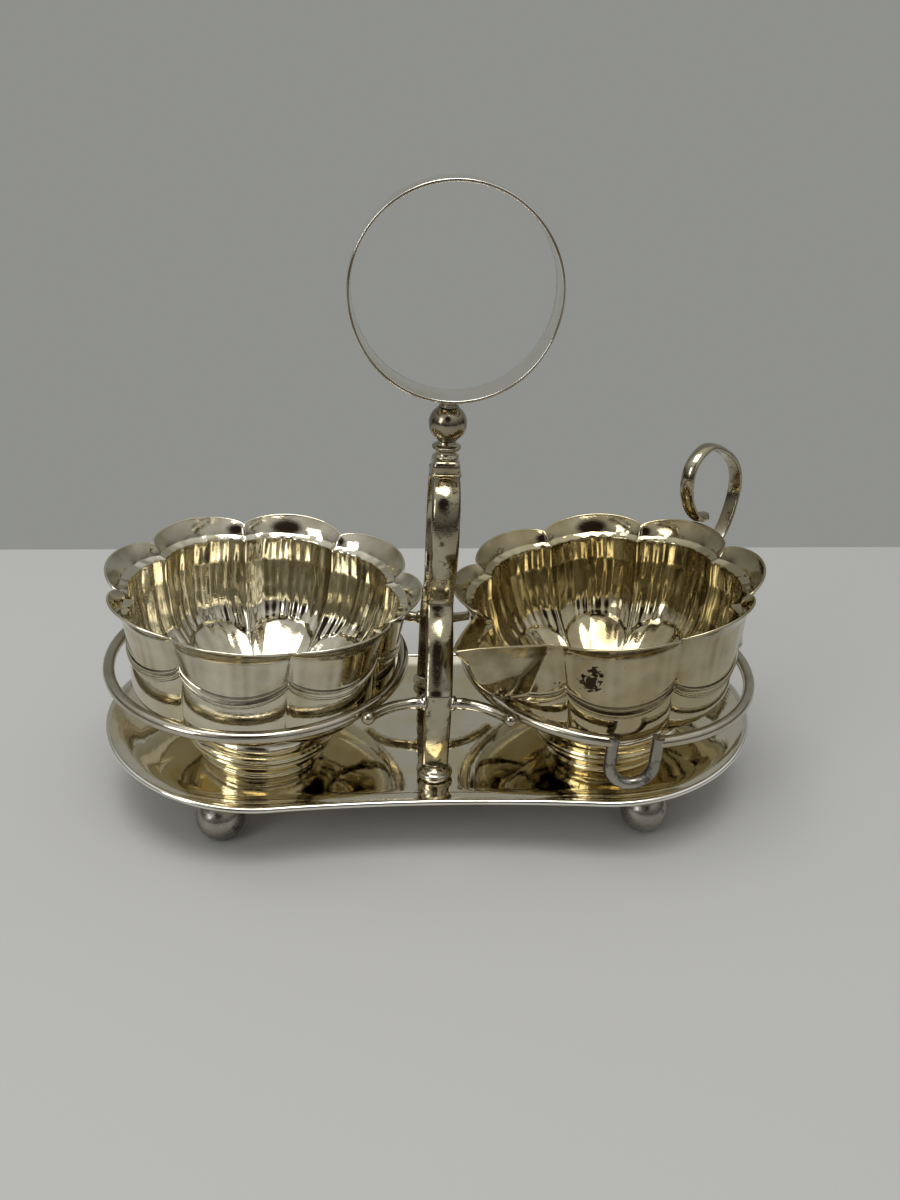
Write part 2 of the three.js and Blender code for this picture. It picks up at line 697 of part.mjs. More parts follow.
place("left_gallery_ring", galleryRing(), wornPlate, frame).position.set(-GALLERY_X, 0, GALLERY_Z);
place("right_gallery_ring", openGalleryRing(), wornPlate, frame).position.set(GALLERY_X, 0, GALLERY_Z);
const notch = place("handle_notch_loop", rod(new NotchLine(), GALLERY_WIRE_R, 26), wornPlate, frame);
notch.position.set(GALLERY_X, -Math.sqrt(GALLERY_R ** 2 - NOTCH_HALF_WIDTH ** 2), GALLERY_Z);
for (const [endName, endSide] of [["left", -1], ["right", 1]]) {
  for (const [depthName, depthSide] of [["front", -1], ["rear", 1]]) {
    const arm = bracketArm(endSide, depthSide);
    place(`${depthName}_${endName}_bracket_arm`, arm, wornPlate, frame).position.z = GALLERY_Z;
  }
}

const sugar = standVessel(SUGAR_X, SUGAR_Y, SUGAR_TURN);
place("sugar_bowl_body", vesselBody(SUGAR_STEP_Z, false), vesselPlate, sugar);
place("sugar_bowl_foot", vesselFoot(), vesselPlate, sugar);

const jug = standVessel(JUG_X, JUG_Y, JUG_TURN);
place("cream_jug_body", vesselBody(JUG_STEP_Z, true), vesselPlate, jug);
place("cream_jug_foot", vesselFoot(), vesselPlate, jug);
place("cream_jug_handle", jugHandle(), wornPlate, jug);

// The origin goes to the middle of the box that holds the object, at the level of its feet.
object.updateMatrixWorld(true);
const box = new THREE.Box3().setFromObject(object, true);
const middle = box.getCenter(new THREE.Vector3());
object.position.set(-middle.x, -middle.y, -box.min.z);

export default object;
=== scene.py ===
import math

import bmesh
import bpy
import numpy as np
from mathutils import Matrix, Vector


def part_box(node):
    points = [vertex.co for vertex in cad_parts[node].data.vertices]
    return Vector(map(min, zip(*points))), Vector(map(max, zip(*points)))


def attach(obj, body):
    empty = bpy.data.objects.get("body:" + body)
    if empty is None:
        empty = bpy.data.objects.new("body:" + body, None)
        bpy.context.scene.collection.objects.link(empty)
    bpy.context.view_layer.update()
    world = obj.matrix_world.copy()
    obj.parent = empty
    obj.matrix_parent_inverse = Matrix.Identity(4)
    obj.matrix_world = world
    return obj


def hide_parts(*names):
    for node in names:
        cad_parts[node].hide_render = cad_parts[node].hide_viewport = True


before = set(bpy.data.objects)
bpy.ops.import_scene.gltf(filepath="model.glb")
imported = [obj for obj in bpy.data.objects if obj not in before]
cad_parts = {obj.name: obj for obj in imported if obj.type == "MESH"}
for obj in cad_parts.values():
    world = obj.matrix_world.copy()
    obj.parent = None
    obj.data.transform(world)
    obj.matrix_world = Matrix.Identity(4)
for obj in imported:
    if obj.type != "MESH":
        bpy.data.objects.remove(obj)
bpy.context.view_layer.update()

# The tray. One pressed sheet of plated white metal: two round ends joined by hollow waists, the
# sheet bowed up towards its ends and turned up round its border. Sizes are in millimetres.
mm = 0.001
merge_reach = 1e-4
tray_end_radius = 50.5
tray_end_x = 59.5
tray_waist_y = 45.5
tray_floor_z = 17.0
tray_bow = 7.9
tray_sheet = 0.9
lip_rise = 3.2
lip_width = 11.0
wire_radius = 0.95
floor_rows, lip_rows, outline_count = 26, 12, 288
half_length = tray_end_x + tray_end_radius
wire_low, wire_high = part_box("tray_edge_wire")
tray_middle = (wire_low + wire_high) / (2 * mm)
middle_shift = np.array([tray_middle.x, tray_middle.y, 0])


def linked(name, data):
    """A new object of the scene that holds a mesh, a light or a camera."""
    thing = bpy.data.objects.new(name, data)
    bpy.context.scene.collection.objects.link(thing)
    return thing


def outward(mesh):
    """Merges a mesh's doubles and turns its faces out."""
    bm = bmesh.new()
    bm.from_mesh(mesh)
    bmesh.ops.remove_doubles(bm, verts=bm.verts, dist=merge_reach * mm)
    bmesh.ops.recalc_face_normals(bm, faces=bm.faces)
    if bm.calc_volume(signed=True) < 0:
        bmesh.ops.reverse_faces(bm, faces=bm.faces)
    bm.to_mesh(mesh)
    bm.free()


def solid_of(name, points, faces, smooth=True, pleats_and_painted_shade=None):
    """A closed mesh from points in millimetres about the tray's middle."""
    mesh = bpy.data.meshes.new(name)
    mesh.from_pydata(((np.asarray(points) + middle_shift) * mm).tolist(), [], faces)
    # A vessel's painted shade rides on the mesh as a point attribute.
    if pleats_and_painted_shade is not None:
        mesh.attributes.new("pleats_and_painted_shade", "FLOAT", "POINT").data.foreach_set("value", pleats_and_painted_shade)
    outward(mesh)
    mesh.polygons.foreach_set("use_smooth", [smooth] * len(mesh.polygons))
    mesh.update()
    return linked(name, mesh)


def woven_faces(rows, columns, closed=False):
    """Quads over a net of points. Every row runs all the way round; closed joins last row to first."""
    faces = []
    for i in range(rows if closed else rows - 1):
        here, there = i * columns, (i + 1) % rows * columns
        for j in range(columns):
            beside = (j + 1) % columns
            faces.append((here + j, here + beside, there + beside, there + j))
    return faces


def run_along(line):
    """How far along a line each of its points lies."""
    return np.concatenate([[0], np.cumsum(np.linalg.norm(np.diff(line, axis=0), axis=1))])


def sampled(line, run, count, closed=False):
    """The same line, with its points evenly spaced along the run."""
    wanted = np.linspace(0, run[-1], count, endpoint=not closed)
    return np.stack([np.interp(wanted, run, line[:, k]) for k in range(line.shape[1])], 1)


def arc(centre, reach, start, end, steps):
    """Points of an arc; reach: its radius, or its two half axes where it is an oval."""
    angles = np.linspace(start, end, steps)
    return np.stack([np.cos(angles), np.sin(angles)], 1) * reach + centre


def tray_outline(count, steps=200):
    """Points evenly spaced along the tray's edge, anticlockwise from its right-hand end."""
    end, reach, pi = tray_end_x, tray_end_radius, math.pi
    waist_arc = (end**2 + tray_waist_y**2 - reach**2) / (2 * (reach - tray_waist_y))
    waist_y = tray_waist_y + waist_arc
    meet = math.atan2(waist_y, -end)
    arcs = [
        arc((end, 0), reach, 0, meet, steps),
        arc((0, waist_y), waist_arc, meet - pi, -meet, steps)[1:],
        arc((-end, 0), reach, pi - meet, pi + meet, 2 * steps)[1:],
        arc((0, -waist_y), waist_arc, meet, pi - meet, steps)[1:],
        arc((end, 0), reach, -meet, 0, steps)[1:],
    ]
    line = np.concatenate(arcs)
    return sampled(line, run_along(line), count, closed=True)


outline = tray_outline(outline_count)
outline_along = np.roll(outline, -1, 0) - np.roll(outline, 1, 0)
outline_along /= np.linalg.norm(outline_along, axis=1)[:, None]
outline_inward = np.stack([-outline_along[:, 1], outline_along[:, 0]], 1)


def tray_top(x):
    """How high the bowed sheet's top is, x from the tray's middle."""
    return tray_floor_z + tray_bow * (x / half_length) ** 2


def tray_slope(x):
    return math.atan(2 * tray_bow * x / half_length**2)


def tray_row(scale, inset, drop):
    """The tray's outline shrunk by a scale or set in by an inset, on the sheet or a drop below it."""
    flat = (outline + outline_inward * inset) * scale
    rise = lip_rise * max(0.0, 1 - inset / lip_width) ** 2
    return np.column_stack([flat, tray_top(flat[:, 0]) + rise - drop])


tray_rows = [tray_row(scale, lip_width, 0) for scale in np.linspace(0, 1, floor_rows)]
tray_rows += [tray_row(1, inset, 0) for inset in np.linspace(lip_width, wire_radius, lip_rows)[1:]]
tray_under = [row - np.array([0, 0, tray_sheet]) for row in reversed(tray_rows)]
tray_net = np.concatenate(tray_rows + tray_under)
tray = solid_of("tray_sheet_plate", tray_net, woven_faces(2 * len(tray_rows), outline_count))


# Silver plate as it ages: bright where it is rubbed, yellow where the air has been at it, and
# brown-black in spots. The groups below are shared by every plated piece; the last paints shade.
def fill(tree, at_node, inputs):
    """Gives a node's inputs, by name or number, their values or the sockets that feed them."""
    for at, value in inputs.items():
        if isinstance(value, bpy.types.NodeSocket):
            tree.links.new(value, at_node.inputs[at])
        else:
            at_node.inputs[at].default_value = value


def node(tree, kind, inputs=(), **settings):
    """A new node of a tree, with its settings and inputs."""
    made = tree.nodes.new(kind)
    for setting, value in settings.items():
        setattr(made, setting, value)
    fill(tree, made, dict(inputs))
    return made


def new_group(name, kind, inputs, outputs):
    """A node group with its inputs' kinds and values and its outputs' kinds."""
    group = bpy.data.node_groups.new(name, kind)
    for label, (socket, value) in inputs.items():
        made = group.interface.new_socket(label, in_out="INPUT", socket_type="NodeSocket" + socket)
        if value is not None:
            made.default_value = value
    for label, socket in outputs.items():
        group.interface.new_socket(label, in_out="OUTPUT", socket_type="NodeSocket" + socket)
    return group, group.nodes.new("NodeGroupInput").outputs, group.nodes.new("NodeGroupOutput")


def placed_group(tree, group, inputs=()):
    """The outputs of a shader node group placed in a material."""
    return node(tree, "ShaderNodeGroup", inputs, node_tree=group).outputs


def object_place(tree):
    return node(tree, "ShaderNodeTexCoord").outputs["Object"]


def noise(tree, place, size, **inputs):
    return node(tree, "ShaderNodeTexNoise", {"Vector": place, "Scale": size, **inputs}).outputs["Fac"]


def worked(tree, operation, *numbers, clamp=False):
    """The result of a Math node on numbers and sockets."""
    inputs = dict(enumerate(numbers))
    return node(tree, "ShaderNodeMath", inputs, operation=operation, use_clamp=clamp).outputs["Value"]


def ranged(tree, value, low, high, to_low=0.0, to_high=1.0, **settings):
    """A value's place between low and high, as a number from to_low to to_high."""
    inputs = {"Value": value, "From Min": low, "From Max": high, "To Min": to_low, "To Max": to_high}
    return node(tree, "ShaderNodeMapRange", inputs, **settings).outputs["Result"]


def mixed(tree, share, first, second, **settings):
    """A colour between the first, at share 0, and the second, at share 1."""
    inputs = {0: share, 6: first, 7: second}
    return node(tree, "ShaderNodeMix", inputs, data_type="RGBA", **settings).outputs[2]


def tarnish_group():
    """Cloud: soft yellowing in large drifts. Spots: small dark freckles with ragged edges."""
    inputs = {"Drift size": ("Float", 55.0), "Spot size": ("Float", 420.0), "Spot cover": ("Float", 0.3)}
    outputs = {"Cloud": "Float", "Spots": "Float"}
    group, entry, leave = new_group("tarnish", "ShaderNodeTree", inputs, outputs)
    place = object_place(group)
    drift = noise(group, place, entry["Drift size"], Detail=4.0, Distortion=0.6)
    freckle = noise(group, place, entry["Spot size"], Detail=7.0, Roughness=0.65)
    edge = worked(group, "SUBTRACT", 0.98, entry["Spot cover"])
    past_edge = worked(group, "SUBTRACT", freckle, edge)
    spots = worked(group, "MULTIPLY", past_edge, 9.0, clamp=True)
    fill(group, leave, {"Cloud": ranged(group, drift, 0.42, 0.66), "Spots": spots})
    return group


def polish_group():
    """Height: fine wiping scratches over the slow waviness of hand-finished sheet."""
    inputs = {"Scratch size": ("Float", 900.0), "Wave size": ("Float", 70.0), "Wave share": ("Float", 0.8)}
    outputs = {"Height": "Float", "Haze": "Float"}
    group, entry, leave = new_group("polish", "ShaderNodeTree", inputs, outputs)
    place = object_place(group)
    wiping = {"Vector": place, "Scale": (1.0, 0.25, 3.0), "Rotation": (0.3, 0.2, 0.6)}
    wiped = node(group, "ShaderNodeMapping", wiping).outputs["Vector"]
    scratch = noise(group, wiped, entry["Scratch size"], Detail=5.0)
    wave = noise(group, place, entry["Wave size"], Detail=1.0)
    blend = node(group, "ShaderNodeMix", {0: entry["Wave share"], 2: scratch, 3: wave})
    fill(group, leave, {"Height": blend.outputs[0], "Haze": ranged(group, scratch, 0.4, 0.7)})
    return group


def shade_mark_group():
    """Painted shade: dark marks painted on a mesh where shade and dark reflections would fall, stronger in
    some places than in others.
    """
    inputs = {"Patch size": ("Float", 130.0)}
    group, entry, leave = new_group("painted_shade_marks", "ShaderNodeTree", inputs, {"Painted shade": "Float"})
    patch = noise(group, object_place(group), entry["Patch size"], Detail=3.0)
    strength = ranged(group, patch, 0.35, 0.60, to_low=0.45)
    marked = node(group, "ShaderNodeAttribute", attribute_name="pleats_and_painted_shade").outputs["Fac"]
    fill(group, leave, {"Painted shade": worked(group, "MULTIPLY", strength, marked)})
    return group


tarnish, polish, shade_marks = tarnish_group(), polish_group(), shade_mark_group()
# The dark tint that the painted shade multiplies into a colour.
painted_shade_tint = (0.30, 0.26, 0.17)
spot_roughness = 0.4
pleat_roughness = 0.04
wave_height = 0.4


def plate(
    name, bright, yellowed, spotted, gloss, worn_gloss, spot_cover, waviness,
    wave_size=70.0, spot_size=420.0, painted_shade_strength=0.0,
):
    """A plated finish: bright metal, yellowed drifts, dark spots, painted shade, and a hand-rubbed
    surface.
    """
    material = bpy.data.materials.new(name)
    material.use_nodes = True
    tree = material.node_tree
    age = placed_group(tree, tarnish, {"Spot cover": spot_cover, "Spot size": spot_size})
    rub = placed_group(tree, polish, {"Wave size": wave_size})
    tone = mixed(tree, age["Cloud"], (*bright, 1), (*yellowed, 1))
    freckled = mixed(tree, age["Spots"], tone, (*spotted, 1))
    # Painted shade: the colour is multiplied by the dark tint as far as the mesh's shade mark reaches.
    depth = worked(tree, "MULTIPLY", placed_group(tree, shade_marks)["Painted shade"], painted_shade_strength)
    shade = mixed(tree, depth, freckled, (*painted_shade_tint, 1), blend_type="MULTIPLY")
    rubbed = ranged(tree, rub["Haze"], 0.0, 1.0, gloss, worn_gloss)
    dulled = worked(tree, "MULTIPLY_ADD", age["Spots"], spot_roughness, rubbed, clamp=True)
    blurred = worked(tree, "MULTIPLY_ADD", depth, pleat_roughness, dulled, clamp=True)
    waves = {"Strength": waviness, "Distance": wave_height * mm, "Height": rub["Height"]}
    normal = node(tree, "ShaderNodeBump", waves).outputs["Normal"]
    surface = {"Metallic": 1.0, "Base Color": shade, "Roughness": blurred, "Normal": normal}
    fill(tree, tree.nodes["Principled BSDF"], surface)
    return material


bright_finish = plate(
    "bright_silver_plate",
    bright=(0.90, 0.88, 0.82), yellowed=(0.80, 0.76, 0.64), spotted=(0.24, 0.20, 0.14),
    gloss=0.06, worn_gloss=0.12, spot_cover=0.25, waviness=0.12,
)
tray_finish = plate(
    "gilded_silver_plate",
    bright=(0.86, 0.81, 0.67), yellowed=(0.80, 0.70, 0.47), spotted=(0.24, 0.20, 0.14),
    gloss=0.02, worn_gloss=0.06, spot_cover=0.25, waviness=0.18,
)
tray.data.materials.append(tray_finish)
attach(tray, "stand")
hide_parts("tray_plate")


# The wire round the tray's edge, soldered on to stiffen the sheet and hide its cut border. It is
# plated drawn wire, as the gallery rings are, so one node tree draws all of them.
def finished_tree(tree, geometry, entry, leave):
    """Ends a tree: its instances are made real and take the finish."""
    real = node(tree, "GeometryNodeRealizeInstances", {"Geometry": geometry}).outputs["Geometry"]
    dressed = {"Geometry": real, "Material": entry["Finish"]}
    fill(tree, leave, {"Geometry": node(tree, "GeometryNodeSetMaterial", dressed).outputs["Geometry"]})
    return tree


def wire_tree():
    """Draws round wire with closed ends along a route of edges."""
    inputs = {"Geometry": ("Geometry", None), "Wire radius": ("Float", 0.001), "Sides": ("Int", 16)}
    inputs["Finish"] = ("Material", None)
    tree, entry, leave = new_group("drawn_wire", "GeometryNodeTree", inputs, {"Geometry": "Geometry"})
    route = node(tree, "GeometryNodeMeshToCurve", {"Mesh": entry["Geometry"]}).outputs["Curve"]
    round_wire = {"Radius": entry["Wire radius"], "Resolution": entry["Sides"]}
    section = node(tree, "GeometryNodeCurvePrimitiveCircle", round_wire).outputs["Curve"]
    drawing = {"Curve": route, "Profile Curve": section, "Fill Caps": True}
    drawn = node(tree, "GeometryNodeCurveToMesh", drawing).outputs["Mesh"]
    smooth = node(tree, "GeometryNodeSetShadeSmooth", {"Geometry": drawn}).outputs["Geometry"]
    return finished_tree(tree, smooth, entry, leave)


wires = wire_tree()


def grown(thing, tree, values, name):
    """The plain mesh that a node tree grows from an object, in that object's place."""
    modifier = thing.modifiers.new("grow", "NODES")
    modifier.node_group = tree
    for item in tree.interface.items_tree:
        if item.item_type == "SOCKET" and item.in_out == "INPUT" and item.name in values:
            modifier[item.identifier] = values[item.name]
    bpy.context.view_layer.update()
    evaluated = thing.evaluated_get(bpy.context.evaluated_depsgraph_get())
    mesh = bpy.data.meshes.new_from_object(evaluated)
    thing.modifiers.remove(modifier)
    bpy.data.objects.remove(thing)
    mesh.name = name
    return linked(name, mesh)


def wire_along(name, points, radius, finish, closed, sides=16):
    """A wire whose middle line runs through points in millimetres about the tray's middle."""
    mesh = bpy.data.meshes.new(name + "_route")
    count = len(points)
    edges = [(i, (i + 1) % count) for i in range(count if closed else count - 1)]
    mesh.from_pydata(((np.asarray(points) + middle_shift) * mm).tolist(), edges, [])
    values = {"Wire radius": radius * mm, "Sides": sides, "Finish": finish}
    made = grown(linked(name + "_route", mesh), wires, values, name)
    outward(made.data)
    return made


edge_line = tray_row(1, wire_radius, tray_sheet / 2)
edge_wire = wire_along("tray_border_wire", edge_line, wire_radius, bright_finish, True)
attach(edge_wire, "stand")
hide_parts("tray_edge_wire")

# The four feet. Each is a ball of plated metal turned with a short neck, soldered under the tray,
# and dark because a cloth seldom reaches it. The node tree stands one turned ball at each corner.
foot_radius = 7.8
foot_flat = 0.5
foot_neck = 3.2
foot_neck_rise = 0.6
foot_flange = 0.2
foot_x = 69.2
foot_y = 34.5
foot_centre = foot_radius - foot_flat
neck_start = math.sqrt(foot_radius**2 - foot_neck**2)
sheet_under = tray_top(foot_x) - tray_sheet / 2


def round_the_axis(count):
    return np.linspace(0, 2 * math.pi, count, endpoint=False)


def turned_net(profile, segments):
    """Points of a turned piece, from [radius, height] pairs listed from the bottom up."""
    angles = round_the_axis(segments)
    rows = []
    for radius, height in profile:
        ring_points = [radius * np.cos(angles), radius * np.sin(angles), np.full(segments, height)]
        rows.append(np.column_stack(ring_points))
    return np.concatenate(rows)


def turned(name, profile, segments, place=(0, 0, 0)):
    net = turned_net(profile, segments) + np.array(place)
    return solid_of(name, net, woven_faces(len(profile), segments))


def ball_rows(radius, centre, low, high, steps):
    """The profile of a ball between two heights about its centre."""
    return arc((0, centre), radius, math.asin(low / radius), math.asin(high / radius), steps)


def corner_tree():
    """Stands a piece at each corner of a level rectangle."""
    inputs = {"Geometry": ("Geometry", None), "Length": ("Float", 0.1), "Width": ("Float", 0.1)}
    inputs["Finish"] = ("Material", None)
    tree, entry, leave = new_group("four_corners", "GeometryNodeTree", inputs, {"Geometry": "Geometry"})
    grid = {"Size X": entry["Length"], "Size Y": entry["Width"], "Vertices X": 2, "Vertices Y": 2}
    corners = node(tree, "GeometryNodeMeshGrid", grid).outputs["Mesh"]
    standing = {"Points": corners, "Instance": entry["Geometry"]}
    stood_on = node(tree, "GeometryNodeInstanceOnPoints", standing).outputs["Instances"]
    return finished_tree(tree, stood_on, entry, leave)


aged_finish = plate(
    "aged_silver_plate",
    bright=(0.40, 0.38, 0.34), yellowed=(0.27, 0.25, 0.215), spotted=(0.09, 0.08, 0.07),
    gloss=0.20, worn_gloss=0.36, spot_cover=0.42, waviness=0.2, spot_size=170.0,
)
foot_profile = [(0, 0), *ball_rows(foot_radius, foot_centre, -foot_centre, neck_start, 24)]
foot_profile.append((foot_neck, foot_centre + neck_start + foot_neck_rise))
foot_profile += [(foot_neck + foot_flange, sheet_under), (0, sheet_under)]
one_foot = turned("one_foot", foot_profile, 40, -middle_shift)
foot_places = {"Length": 2 * foot_x * mm, "Width": 2 * foot_y * mm, "Finish": aged_finish}
feet = grown(one_foot, corner_tree(), foot_places, "ball_feet")
feet.data.transform(Matrix.Translation(Vector(middle_shift * mm)))
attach(feet, "stand")
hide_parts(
    "front_left_foot_ball",
    "front_right_foot_ball",
    "rear_left_foot_ball",
    "rear_right_foot_ball",
)

# The leg collars and nuts. Each collar is a flat bun of plated metal turned with a threaded stud,
# which passes through the tray and is held by a brass hexagon nut underneath.
leg_y = 28.0
collar_radius = 5.75
collar_height = 4.0
collar_gap = 0.3
stud_radius = 1.6
stud_length = 5.6
stud_tip = 0.3
thread_turns = 8
thread_start, thread_end = 0.1, 0.1
thread_depth = 0.25
nut_radius = 3.8
nut_height = 2.4
nut_chamfer = 0.4
nut_clearance = 0.02

worn_finish = plate(
    "worn_silver_plate",
    bright=(0.55, 0.51, 0.42), yellowed=(0.45, 0.39, 0.28), spotted=(0.17, 0.13, 0.09),
    gloss=0.10, worn_gloss=0.22, spot_cover=0.36, waviness=0.16,
)


def set_out(radius, steps):
    """Profile points given as [step out from a radius, height] pairs."""
    return [(radius + out, height) for out, height in steps]


collar_profile = [(0, -stud_length), (stud_radius - stud_tip, -stud_length)]
pitch = (stud_length - thread_start - thread_end) / thread_turns
for turn in range(thread_turns):
    low = -stud_length + thread_start + turn * pitch
    collar_profile += [(stud_radius - thread_depth, low), (stud_radius, low + pitch / 2)]
collar_profile += [(stud_radius, 0), *set_out(collar_radius, [(-1.3, 0), (-0.5, 0.3)])]
collar_profile += [*arc((collar_radius - 1.5, 1.7), (1.5, 1.4), -0.8, 1.2, 10)]
collar_profile += set_out(collar_radius, [(-1.35, 3.25), (-1.2, 3.5), (-1.5, 3.9)])
collar_profile.append((0, collar_height))

nut_finish = plate(
    "dull_brass",
    bright=(0.55, 0.46, 0.26), yellowed=(0.42, 0.33, 0.18), spotted=(0.10, 0.08, 0.05),
    gloss=0.3, worn_gloss=0.45, spot_cover=0.42, waviness=0.3,
)


def hexagon_nut(name, place, count=48):
    """A hexagon nut with chamfered corners and an open bore round the stud."""
    side = math.pi / 3
    from_flat = (round_the_axis(count) + side / 2) % side - side / 2
    flats = nut_radius * math.cos(side / 2) / np.cos(from_flat)
    eased = np.minimum(flats, nut_radius - nut_chamfer)
    bore, half = np.full(count, stud_radius + nut_clearance), nut_height / 2
    profile = [(bore, -half), (eased, -half), (flats, -half + nut_chamfer)]
    profile += [(flats, half - nut_chamfer), (eased, half), (bore, half)]
    net = turned_net(profile, count) + np.array(place)
    return solid_of(name, net, woven_faces(len(profile), count, closed=True), smooth=False)


collar_z = tray_floor_z + collar_gap
nut_z = tray_floor_z - tray_sheet - collar_gap - nut_height / 2
for depth, side in (("front", -1), ("rear", 1)):
    collar = turned(f"{depth}_leg_bun", collar_profile, 48, (0, side * leg_y, collar_z))
    collar.data.materials.append(worn_finish)
    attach(collar, "stand")
    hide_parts(f"{depth}_leg_collar")
    nut = hexagon_nut(f"{depth}_leg_hexagon_nut", (0, side * leg_y, nut_z))
    nut.data.materials.append(nut_finish)
    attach(nut, "stand")
    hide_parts(f"{depth}_leg_nut")

# The arch. Two half-round straps of plated white metal, cast and filed, stand on the collars: a
# straight leg with a raised ledge, a pinch where they nearly meet, and a loop up to the cap.
arch_lean = math.radians(1.9)
collar_top = collar_z + collar_height
strap_width = 8.7
strap_thickness = 2.2
strap_crown = 0.8
strap_edge = 0.6
ledge_z = 46.5
ledge_rise, ledge_middle, ledge_half = 0.45, 1.2, 0.7
leg_rise = 0.18
pinch_y, pinch_z = 10.2, 72.0
loop_y, loop_z = 16.6, 93.0
arch_top_z = 112.4

strap_finish = plate(
    "browned_silver_plate",
    bright=(0.46, 0.42, 0.31), yellowed=(0.29, 0.24, 0.14), spotted=(0.08, 0.06, 0.04),
    gloss=0.06, worn_gloss=0.18, spot_cover=0.42, waviness=0.30, wave_size=150.0, spot_size=260.0,
)
dark_finish = plate(
    "darkened_silver_plate",
    bright=(0.36, 0.31, 0.23), yellowed=(0.20, 0.16, 0.11), spotted=(0.08, 0.06, 0.045),
    gloss=0.10, worn_gloss=0.24, spot_cover=0.38, waviness=0.14, spot_size=200.0,
)


def darkened_edges(band, axis, squareness=0.5):
    """The faces of a band that point along one axis, its narrow edges, take the dark finish."""
    band.data.materials.append(dark_finish)
    for face in band.data.polygons:
        face.material_index = 1 if abs(face.normal[axis]) > squareness else 0


def leaned(points):
    """The lean of everything above the leg collars, about the level of their tops."""
    points = np.array(points, float)
    x, z = points[:, 0].copy(), points[:, 2] - collar_top
    points[:, 0] = x * math.cos(arch_lean) + z * math.sin(arch_lean)
    points[:, 2] = collar_top - x * math.sin(arch_lean) + z * math.cos(arch_lean)
    return points


def smooth_line(points, count, steps=24):
    """A centripetal curve through the points, evenly sampled."""
    p = np.asarray(points, float)
    p = np.vstack([2 * p[0] - p[1], p, 2 * p[-1] - p[-2]])
    curve = []
    for i in range(1, len(p) - 2):
        p0, p1, p2, p3 = p[i - 1 : i + 3]
        t1 = np.linalg.norm(p1 - p0) ** 0.5
        t2 = t1 + np.linalg.norm(p2 - p1) ** 0.5
        t3 = t2 + np.linalg.norm(p3 - p2) ** 0.5
        for t in np.linspace(t1, t2, steps, endpoint=False):
            a1 = (t1 - t) / t1 * p0 + t / t1 * p1
            a2 = (t2 - t) / (t2 - t1) * p1 + (t - t1) / (t2 - t1) * p2
            a3 = (t3 - t) / (t3 - t2) * p2 + (t - t2) / (t3 - t2) * p3
            b1 = (t2 - t) / t2 * a1 + t / t2 * a2
            b2 = (t3 - t) / (t3 - t1) * a2 + (t - t1) / (t3 - t1) * a3
            curve.append((t2 - t) / (t2 - t1) * b1 + (t - t1) / (t2 - t1) * b2)
    curve = np.array([*curve, p[-2]])
    return sampled(curve, run_along(curve), count)


def half_round(width, thickness, crown, edge):
    """A strap's section as [across, out] pairs: flat inside, crowned outside, eased edges."""
    inner, pi = width / 2 - edge, math.pi
    low, high = -thickness / 2 + edge, thickness / 2 - crown - edge
    across = np.linspace(inner, -inner, 15)
    sides = [
        np.column_stack([across, thickness / 2 - crown * (2 * across / width) ** 2]),
        arc((-inner, high), edge, pi / 2, pi, 5)[1:],
        arc((-inner, low), edge, pi, 1.5 * pi, 4),
        arc((inner, low), edge, 1.5 * pi, 2 * pi, 4),
        arc((inner, high), edge, 0, pi / 2, 5)[:-1],
    ]
    return np.concatenate(sides)


def strap_net(line, out_of, section, proud=0.0, narrowing=1.0):
    """Sections of a strap set along its middle line, in the line's own flat plane.
    line: [across, up] points; out_of: 1 or -1, the side that is the strap's crowned face."""
    along = np.gradient(line, axis=0)
    along /= np.linalg.norm(along, axis=1)[:, None]
    out = np.stack([along[:, 1], -along[:, 0]], 1) * out_of
    lifts, shares = np.broadcast_to(proud, len(line)), np.broadcast_to(narrowing, len(line))
    rows = []
    for middle, outward_at, lift, share in zip(line, out, lifts, shares):
        reach = section[:, 1] + lift * (section[:, 1] > 0)
        rows.append(np.column_stack([section[:, 0] * share, middle + np.outer(reach, outward_at)]))
    return np.concatenate(rows)


def capped_faces(rows, columns):
    """The faces of a net that is open at both ends, with both ends closed."""
    ends = [tuple(range(columns)), tuple(reversed(range((rows - 1) * columns, rows * columns)))]
    return woven_faces(rows, columns) + ends


arch_line = [
    (leg_y, collar_top),
    (leg_y, (collar_top + ledge_z) / 2),
    (leg_y, ledge_z),
    (leg_y - 2.6, ledge_z + 6),
    (leg_y - 9, ledge_z + 15.5),
    (pinch_y + 2.6, pinch_z - 4.2),
    (pinch_y, pinch_z),
    (pinch_y + 3, pinch_z + 7.5),
    (loop_y, loop_z),
    (loop_y - 3.6, arch_top_z - 5.4),
    (loop_y - 9, arch_top_z - 1),
    (0.0, arch_top_z),
]
strap_line = smooth_line(arch_line, 150)
strap_section = half_round(strap_width, strap_thickness, strap_crown, strap_edge)
strap_faces = capped_faces(len(strap_line), len(strap_section))
ledge_proud = ledge_rise / (1 + ((strap_line[:, 1] - ledge_z - ledge_middle) / ledge_half) ** 4)
ledge_proud *= strap_line[:, 0] > leg_y - 4
leg_proud = leg_rise * (strap_line[:, 1] < ledge_z + 1)
for depth, side in (("front", -1), ("rear", 1)):
    net = strap_net(strap_line, 1, strap_section, ledge_proud + leg_proud) * (1, side, 1)
    strap = solid_of(f"{depth}_arch_half", leaned(net), strap_faces)
    strap.data.materials.append(strap_finish)
    darkened_edges(strap, 0)
    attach(strap, "stand")
    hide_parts(f"{depth}_arch_strap")

# The cap, neck, knop and saddle, of plated white metal. The cap is a cast block over the two strap
# ends, beaded along its lower edge; the others are turned, and all are soldered in a stack.
cap_width, cap_depth = 10.0, 12.4
cap_squareness = 0.28
cap_z = arch_top_z + strap_thickness / 2
neck_radius, disc_radius = 3.4, 4.5
knop_radius = 5.85
knop_flat = 0.2
saddle_radius = 2.6
neck_z = 117.2
knop_z = 127.7
saddle_z = 133.2


